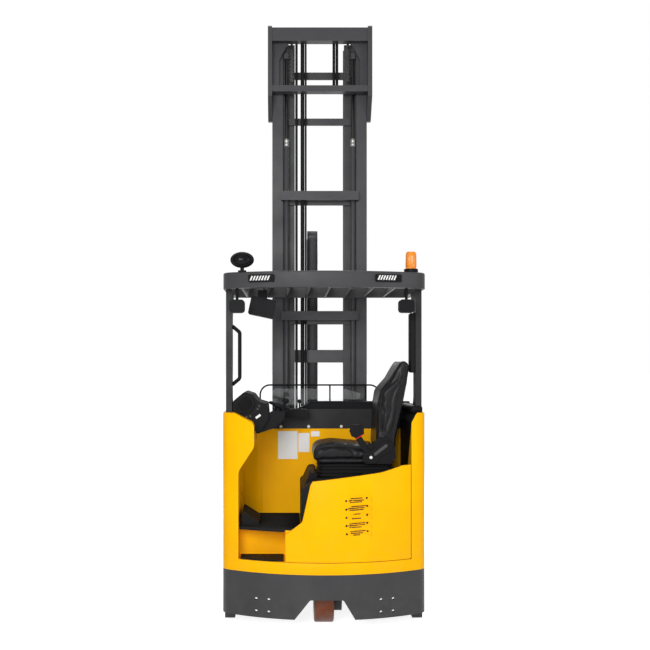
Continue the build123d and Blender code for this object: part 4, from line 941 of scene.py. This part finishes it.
def vent_holes():
    bm = bmesh.new()
    for px, py, size in vent_spots():
        guess = at_pixel(px, py, REAR_Y + COVER_DEPTH)
        point, normal = hit_from_rear(nodes["rear_cover"], guess.x, guess.z)
        stand = standing_on(point, normal)
        radius = HOLE_R * size
        ring_mesh(bm, [
            [stand @ Vector((*co, up)) for co in circle(radius * share, HOLE_SIDES)]
            for share, up in HOLE_PROFILE
        ])
    # painted shade: the black dish stands in for the dark inside of each hole
    return add_built("vent_holes", bm, black_rubber, smooth=False)


holes = vent_holes()
print("vent holes", len(holes.data.polygons), "faces")

# %% [markdown]
# The right wall is lined inside with a black moulded sheet, up to the rim of its collar. The sheet follows
# the wall, so its faces are taken from the solid: those that look inwards or up at the seat, lifted off by
# two millimetres.

# %% Lining of the right wall
LINING_LIFT = 0.002
LINING_LOW = 0.95           # the sheet ends at this height
INWARD = -0.25              # a face that looks less inwards isn't lined
FORE_AND_AFT = 0.5          # nor is one that looks this far forward or back


def is_bare(face):
    """A face of the wall without lining."""
    low = face.calc_center_median().z < LINING_LOW
    return low or face.normal.x > INWARD or abs(face.normal.y) > FORE_AND_AFT


def wall_lining():
    bm = bmesh.new()
    bm.from_mesh(nodes["right_wall"].data)
    bmesh.ops.remove_doubles(bm, verts=bm.verts, dist=MERGE_DISTANCE)
    bmesh.ops.delete(bm, geom=[face for face in bm.faces if is_bare(face)], context="FACES")
    bm.normal_update()
    shift = {vert: vert.normal * LINING_LIFT for vert in bm.verts}
    for vert, move in shift.items():
        vert.co += move
    mesh = bpy.data.meshes.new("wall_lining")
    bm.to_mesh(mesh)
    bm.free()
    piece = add_piece("wall_lining", mesh, black_plastic, "chassis", smooth=False)
    sheet = piece.modifiers.new("sheet", "SOLIDIFY")
    sheet.thickness = LINING_LIFT
    sheet.offset = -1
    return piece


lining = wall_lining()
print("lining", len(lining.data.polygons), "faces")

# %% [markdown]
# Where the right post stands on the wall, a black collar closes the gap to the hood. It is a low rounded
# block that wraps the post's foot, lofted from rounded rectangles so that its top edge is soft.

# %% Collar at the post's foot
COLLAR_INSIDE = 0.034
COLLAR_OUTSIDE = 0.006
COLLAR_REAR = 0.020
COLLAR_GAP = 0.002
COLLAR_CORNER = 0.024
COLLAR_PROFILE = ((0.0, -0.002), (0.0, 0.030), (0.003, 0.037), (0.010, 0.041), (0.020, 0.042))


def post_collar():
    wall_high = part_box("right_wall")[1]
    post_low, post_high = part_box("guard_post_right")
    hood_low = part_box("hood")[0]
    x1 = min(post_high.x + COLLAR_OUTSIDE, wall_high.x - COLLAR_OUTSIDE)
    x0, y0, y1 = post_low.x - COLLAR_INSIDE, post_low.y - COLLAR_REAR, hood_low.y - COLLAR_GAP
    rings = [
        rounded_ring(x0, x1, y0, y1, inset, post_low.z + up, COLLAR_CORNER)
        for inset, up in COLLAR_PROFILE
    ]
    bm = bmesh.new()
    ring_mesh(bm, rings)
    return add_built("post_collar", bm, black_plastic)


collar = post_collar()
print("collar box", [round(value, 3) for value in collar.dimensions])

# %% [markdown]
# The two flat lamps in the roof's rim show rows of slanted lens cells. Each cell is a small raised pane laid
# on the lamp's face by rays, so the row follows the lamp's turn.

# %% Lamp cells
LED_ROWS = ((249.6, 275.9, 271.4, 280.4), (377.2, 275.5, 398.0, 280.1))     # left, top, right, bottom pixel
LED_CELLS = 7
LED_SLANT = 1.9
CELL_SHARE = 0.55           # a cell's share of its step along the row
LAMP_DEPTH = 0.05           # of the lamps' faces behind the cover's rearmost point
CELL_PROFILE = ((1.0, -0.001), (1.0, 0.001), (0.7, 0.0028))


def on_lamp(px, py, up):
    """Point above the lamps' face at a pixel."""
    guess = at_pixel(px, py, REAR_Y + LAMP_DEPTH)
    point, normal = hit_from_rear(nodes["guard_lamps"], guess.x, guess.z)
    return point + normal * up


def led_cells():
    bm = bmesh.new()
    for left, top, right, bottom in LED_ROWS:
        step = (right - left - LED_SLANT) / LED_CELLS
        for cell in range(LED_CELLS):
            x0 = left + cell * step
            x1 = x0 + step * CELL_SHARE
            ends = ((x0, bottom), (x1, bottom), (x1 + LED_SLANT, top), (x0 + LED_SLANT, top))
            corners = [Vector(end) for end in ends]
            middle = sum(corners, Vector((0, 0))) / 4
            ring_mesh(bm, [
                [on_lamp(*(middle + (corner - middle) * size), up) for corner in corners]
                for size, up in CELL_PROFILE
            ])
    return add_built("lamp_cells", bm, lamp_white, smooth=False)


cells = led_cells()
print("lamp cells", len(cells.data.polygons), "faces")

# %% [markdown]
# The oval lamp on the roof has a domed lens in a raised rim. Its body is an ellipsoid, so rings of growing
# size on its rear give both: the lens is closed in the middle, and the rim is an open band round it.

# %% Oval lamp
OVAL_RADII = Vector((0.074, 0.042, 0.050))
OVAL_SIDES = 32
LENS_PROFILE = ((0.05, 0.001), (0.25, 0.001), (0.45, 0.001), (0.62, 0.001), (0.70, 0.0002))
RIM_PROFILE = ((0.70, -0.001), (0.71, 0.004), (0.80, 0.005), (0.88, 0.003), (0.90, -0.001))
OVAL_PIECES = (         # name, material, closed, share of the oval and height off it
    ("oval_lens", dark_glass, True, LENS_PROFILE),
    ("oval_rim", black_plastic, False, RIM_PROFILE),
)


def oval_ring(middle, share, up):
    """Ring on the rear of the oval body."""
    depth = math.sqrt(1 - share * share)
    back = -OVAL_RADII.y * depth - up
    return [
        middle + Vector((OVAL_RADII.x * share * across, back, OVAL_RADII.z * share * rise))
        for across, rise in circle(1.0, OVAL_SIDES)
    ]


low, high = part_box("mirror")
oval_middle = Vector(((low.x + high.x) / 2, (low.y + high.y) / 2, high.z - OVAL_RADII.z))
for name, material, closed, profile in OVAL_PIECES:
    oval = bmesh.new()
    ring_mesh(oval, [oval_ring(oval_middle, share, up) for share, up in profile], close=closed)
    add_built(name, oval, material)
print("oval lamp's lens and rim made")

# %% [markdown]
# The beacon's amber lens is fluted from top to bottom, which spreads the flash. A ring of points whose
# radius ripples, repeated up the height, gives the flutes; the top closes in a soft dome.

# %% Beacon lens
FLUTES = 16
FLUTE_DEPTH = 0.0022
FLUTE_POINTS = 6
FLUTED_SPAN = (0.12, 0.95)      # shares of the height
BEACON_PROFILE = (              # share of the radius, share of the height
    (1.0, 0.0), (1.0, 0.06), (0.90, 0.07), (0.90, 0.12), (0.96, 0.13), (0.94, 0.50), (0.92, 0.82),
    (0.84, 0.92), (0.66, 0.98), (0.30, 1.0),
)


def fluted_lens():
    low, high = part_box("beacon_lens")
    middle = (low + high) / 2
    radius = (high.x - low.x) / 2
    count = FLUTES * FLUTE_POINTS
    rings = []
    for share, up in BEACON_PROFILE:
        fluted = FLUTED_SPAN[0] < up < FLUTED_SPAN[1]
        z = low.z + (high.z - low.z) * up
        ring = []
        for i in range(count):
            angle = math.tau * i / count
            ripple = FLUTE_DEPTH * abs(math.cos(FLUTES * angle / 2)) if fluted else 0
            size = radius * share - ripple
            ring.append((middle.x + size * math.cos(angle), middle.y + size * math.sin(angle), z))
        rings.append(ring)
    bm = bmesh.new()
    ring_mesh(bm, rings)
    piece = add_built("beacon_flutes", bm, amber)
    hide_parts("beacon_lens")


fluted_lens()
print("beacon lens with", FLUTES, "flutes")

# %% [markdown]
# Rubber mats have ribs that grip a boot. Each rib is a low half-round strip across the floor; a fan of
# downward rays tells where the mat lies bare, so no rib runs into a pedal or over the rounded front edge.

# %% Ribs of the mats
RIB_STEP = 0.020
RIB_HALF = 0.005
RIB_UP = 0.0022
RIB_SINK = 0.0006
RIB_SAMPLES = 60
RIB_SHORTEST = 0.03
RIB_ENDS = (0.030, 0.015)       # bare mat behind the first rib and in front of the last
RIB_SIDE = 0.008
RIB_RAY_Z = 1.0
FLAT = 0.001


def rib_strip(bm, run):
    """Half-round strip from the first to the last point of a run."""
    if len(run) < 2 or (run[-1] - run[0]).length < RIB_SHORTEST:
        return
    rings = []
    for end in (run[0], run[-1]):
        ring = [end + Vector((0, -RIB_HALF, -RIB_SINK))]
        for i in range(5):
            angle = math.pi * i / 4
            ring.append(end + Vector((0, -RIB_HALF * math.cos(angle) * 0.95, RIB_UP * math.sin(angle))))
        ring.append(end + Vector((0, RIB_HALF, -RIB_SINK)))
        rings.append(ring)
    ring_mesh(bm, rings)


def bare_mat(x, y):
    """Point of the mat under x, y, or None where it isn't flat or a pedal covers it."""
    mats, pedals = nodes["mats"], nodes["pedals"]
    found, point, normal, _ = mats.ray_cast((x, y, RIB_RAY_Z), DOWNWARD)
    near_found, near, _, _ = mats.ray_cast((x, y - 0.012, RIB_RAY_Z), DOWNWARD)
    flat = found and normal.z > 0.99 and near_found and abs(near.z - point.z) < FLAT
    covered = any(pedals.ray_cast((x, y - back, RIB_RAY_Z), DOWNWARD)[0] for back in (0, 0.01))
    return point if flat and not covered else None


def mat_ribs():
    low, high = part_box("mats")
    bm = bmesh.new()
    row = low.y + RIB_ENDS[0]
    while row < high.y - RIB_ENDS[1]:
        run = []
        for i in range(RIB_SAMPLES + 1):
            x = low.x + RIB_SIDE + (high.x - low.x - 2 * RIB_SIDE) * i / RIB_SAMPLES
            point = bare_mat(x, row)
            if point is not None and (not run or abs(run[-1].z - point.z) < FLAT):
                run.append(point)
            else:
                rib_strip(bm, run)
                run = []
        rib_strip(bm, run)
        row += RIB_STEP
    return add_built("mat_ribs", bm, black_rubber)


ribs = mat_ribs()
print("mat ribs", len(ribs.data.polygons), "faces")

# %% [markdown]
# On top of each lift cylinder sits a bright gland that seals the rod. It is a turned part, so a lathe
# helper makes it from a profile of radius and height.

# %% Glands of the lift cylinders
BARREL_R = 0.018
GLAND_PROFILE = (       # radius beyond the barrel's, height from the barrel's top
    (-0.001, -0.056), (0.0014, -0.055), (0.0014, -0.034), (0.0004, -0.032), (0.0004, -0.020),
    (0.0014, -0.018), (0.0014, -0.002), (-0.0045, 0.0006),
)


def lathe(bm, middle, profile, count=24, close=True):
    """Turned part about Z: rows of radius and height above middle."""
    ring_mesh(bm, [
        [(middle.x + across, middle.y + along, middle.z + up) for across, along in circle(radius, count)]
        for radius, up in profile
    ], close=close)


def cylinder_glands():
    low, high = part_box("lift_cylinders")
    profile = [(BARREL_R + beyond, up) for beyond, up in GLAND_PROFILE]
    bm = bmesh.new()
    for x in (low.x + BARREL_R, high.x - BARREL_R):
        lathe(bm, Vector((x, (low.y + high.y) / 2, high.z)), profile, close=False)
    return add_built("cylinder_glands", bm, zinc, body="mast_outer")


glands = cylinder_glands()
print("glands", len(glands.data.polygons), "faces")

# %% [markdown]
# The dash carries a display and switches. On the near side they show as a raised bezel with a dark screen,
# a pale rocker and a row of buttons; all are mouldings on the dash's rear face.

# %% Dash controls
DASH_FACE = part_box("dash")[0].y
BEZEL_T = 0.010
DASH_BEZEL = (
    (233.0, 404.0), (240.0, 395.6), (246.4, 393.6), (252.6, 396.6), (255.6, 404.0), (251.0, 412.0),
    (241.0, 414.0),
)
DASH_SCREEN = (
    (236.4, 404.4), (241.4, 398.0), (246.6, 396.4), (250.8, 398.8), (252.8, 404.2), (249.6, 409.8),
    (241.8, 411.4),
)
DASH_ROCKER = ((255.0, 417.2), (259.8, 413.8), (261.2, 415.6), (256.6, 419.0))
DASH_BUTTONS = ((243.0, 417.6), (246.6, 417.0), (250.2, 416.2), (257.6, 409.0), (259.2, 406.0))
BUTTON_SIZE = 0.006
BUTTON_LIFT = 0.0005
DASH_MOULDINGS = (      # name, pixels, back plane, thickness, rim, material
    ("dash_bezel", DASH_BEZEL, DASH_FACE, BEZEL_T, 0.005, black_plastic),
    ("dash_screen", DASH_SCREEN, DASH_FACE - BEZEL_T, 0.003, 0.001, dark_glass),
    ("dash_rocker", DASH_ROCKER, DASH_FACE, 0.012, 0.003, pale_plate),
)
for name, pixels, back, thickness, rim, material in DASH_MOULDINGS:
    moulding(name, pixel_outline(pixels, back), back, thickness, material, rim)
buttons = bmesh.new()
for px, py in DASH_BUTTONS:
    place = at_pixel(px, py, DASH_FACE)
    place.y = DASH_FACE - BUTTON_LIFT
    bolt(buttons, place, REARWARD, BUTTON_SIZE, BUTTON_SIZE)
add_built("dash_buttons", buttons, stitch_grey, smooth=False)
print(len(DASH_MOULDINGS), "mouldings and", len(DASH_BUTTONS), "buttons on the dash")

# %% [markdown]
# The small steering wheel is one moulding: a thick soft rim, a closed web and a hub, with a ball on a
# flared stem for one-handed turning. Both are turned shapes, tilted onto the column's axis, so they are
# lathed and then set in place.

# %% Steering wheel
WHEEL_PROFILE = (       # radius, height along the column
    (0.0005, -0.0140), (0.0200, -0.0140), (0.0220, -0.0120), (0.0240, -0.0050), (0.0500, -0.0040),
    (0.0550, -0.0060), (0.0620, -0.0100), (0.0690, -0.0070), (0.0720, 0.0), (0.0690, 0.0070),
    (0.0620, 0.0100), (0.0550, 0.0060), (0.0500, 0.0030), (0.0260, 0.0040), (0.0220, 0.0080),
    (0.0005, 0.0090),
)
KNOB_PROFILE = (
    (0.0005, 0.006), (0.014, 0.006), (0.012, 0.014), (0.008, 0.022), (0.009, 0.028), (0.018, 0.034),
    (0.022, 0.044), (0.020, 0.054), (0.012, 0.062), (0.0005, 0.064),
)
KNOB_ANGLE = math.radians(-65)
KNOB_REACH = 0.062
WHEEL_SIDES = 40


def steering_wheel():
    joints = frame["record"]["behaviour"]["joints"]
    joint = next(row for row in joints if row["child"] == "steering_wheel")
    axis = Vector(joint["axis"]).normalized()
    tilt = math.atan2(axis.x, axis.z)
    place = Matrix.Translation(joint["pos_m"]) @ Matrix.Rotation(tilt, 4, "Y")
    knob_place = Vector((KNOB_REACH * math.cos(KNOB_ANGLE), KNOB_REACH * math.sin(KNOB_ANGLE), 0))
    turned = (("wheel_rim", Vector(), WHEEL_PROFILE), ("wheel_knob", knob_place, KNOB_PROFILE))
    for name, middle, profile in turned:
        bm = bmesh.new()
        lathe(bm, middle, profile, count=WHEEL_SIDES)
        bmesh.ops.transform(bm, matrix=place, verts=bm.verts)
        piece = add_built(name, bm, black_plastic, body="steering_wheel")
        if name == "wheel_rim":
            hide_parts("steering_wheel")


steering_wheel()
print("steering wheel turned")
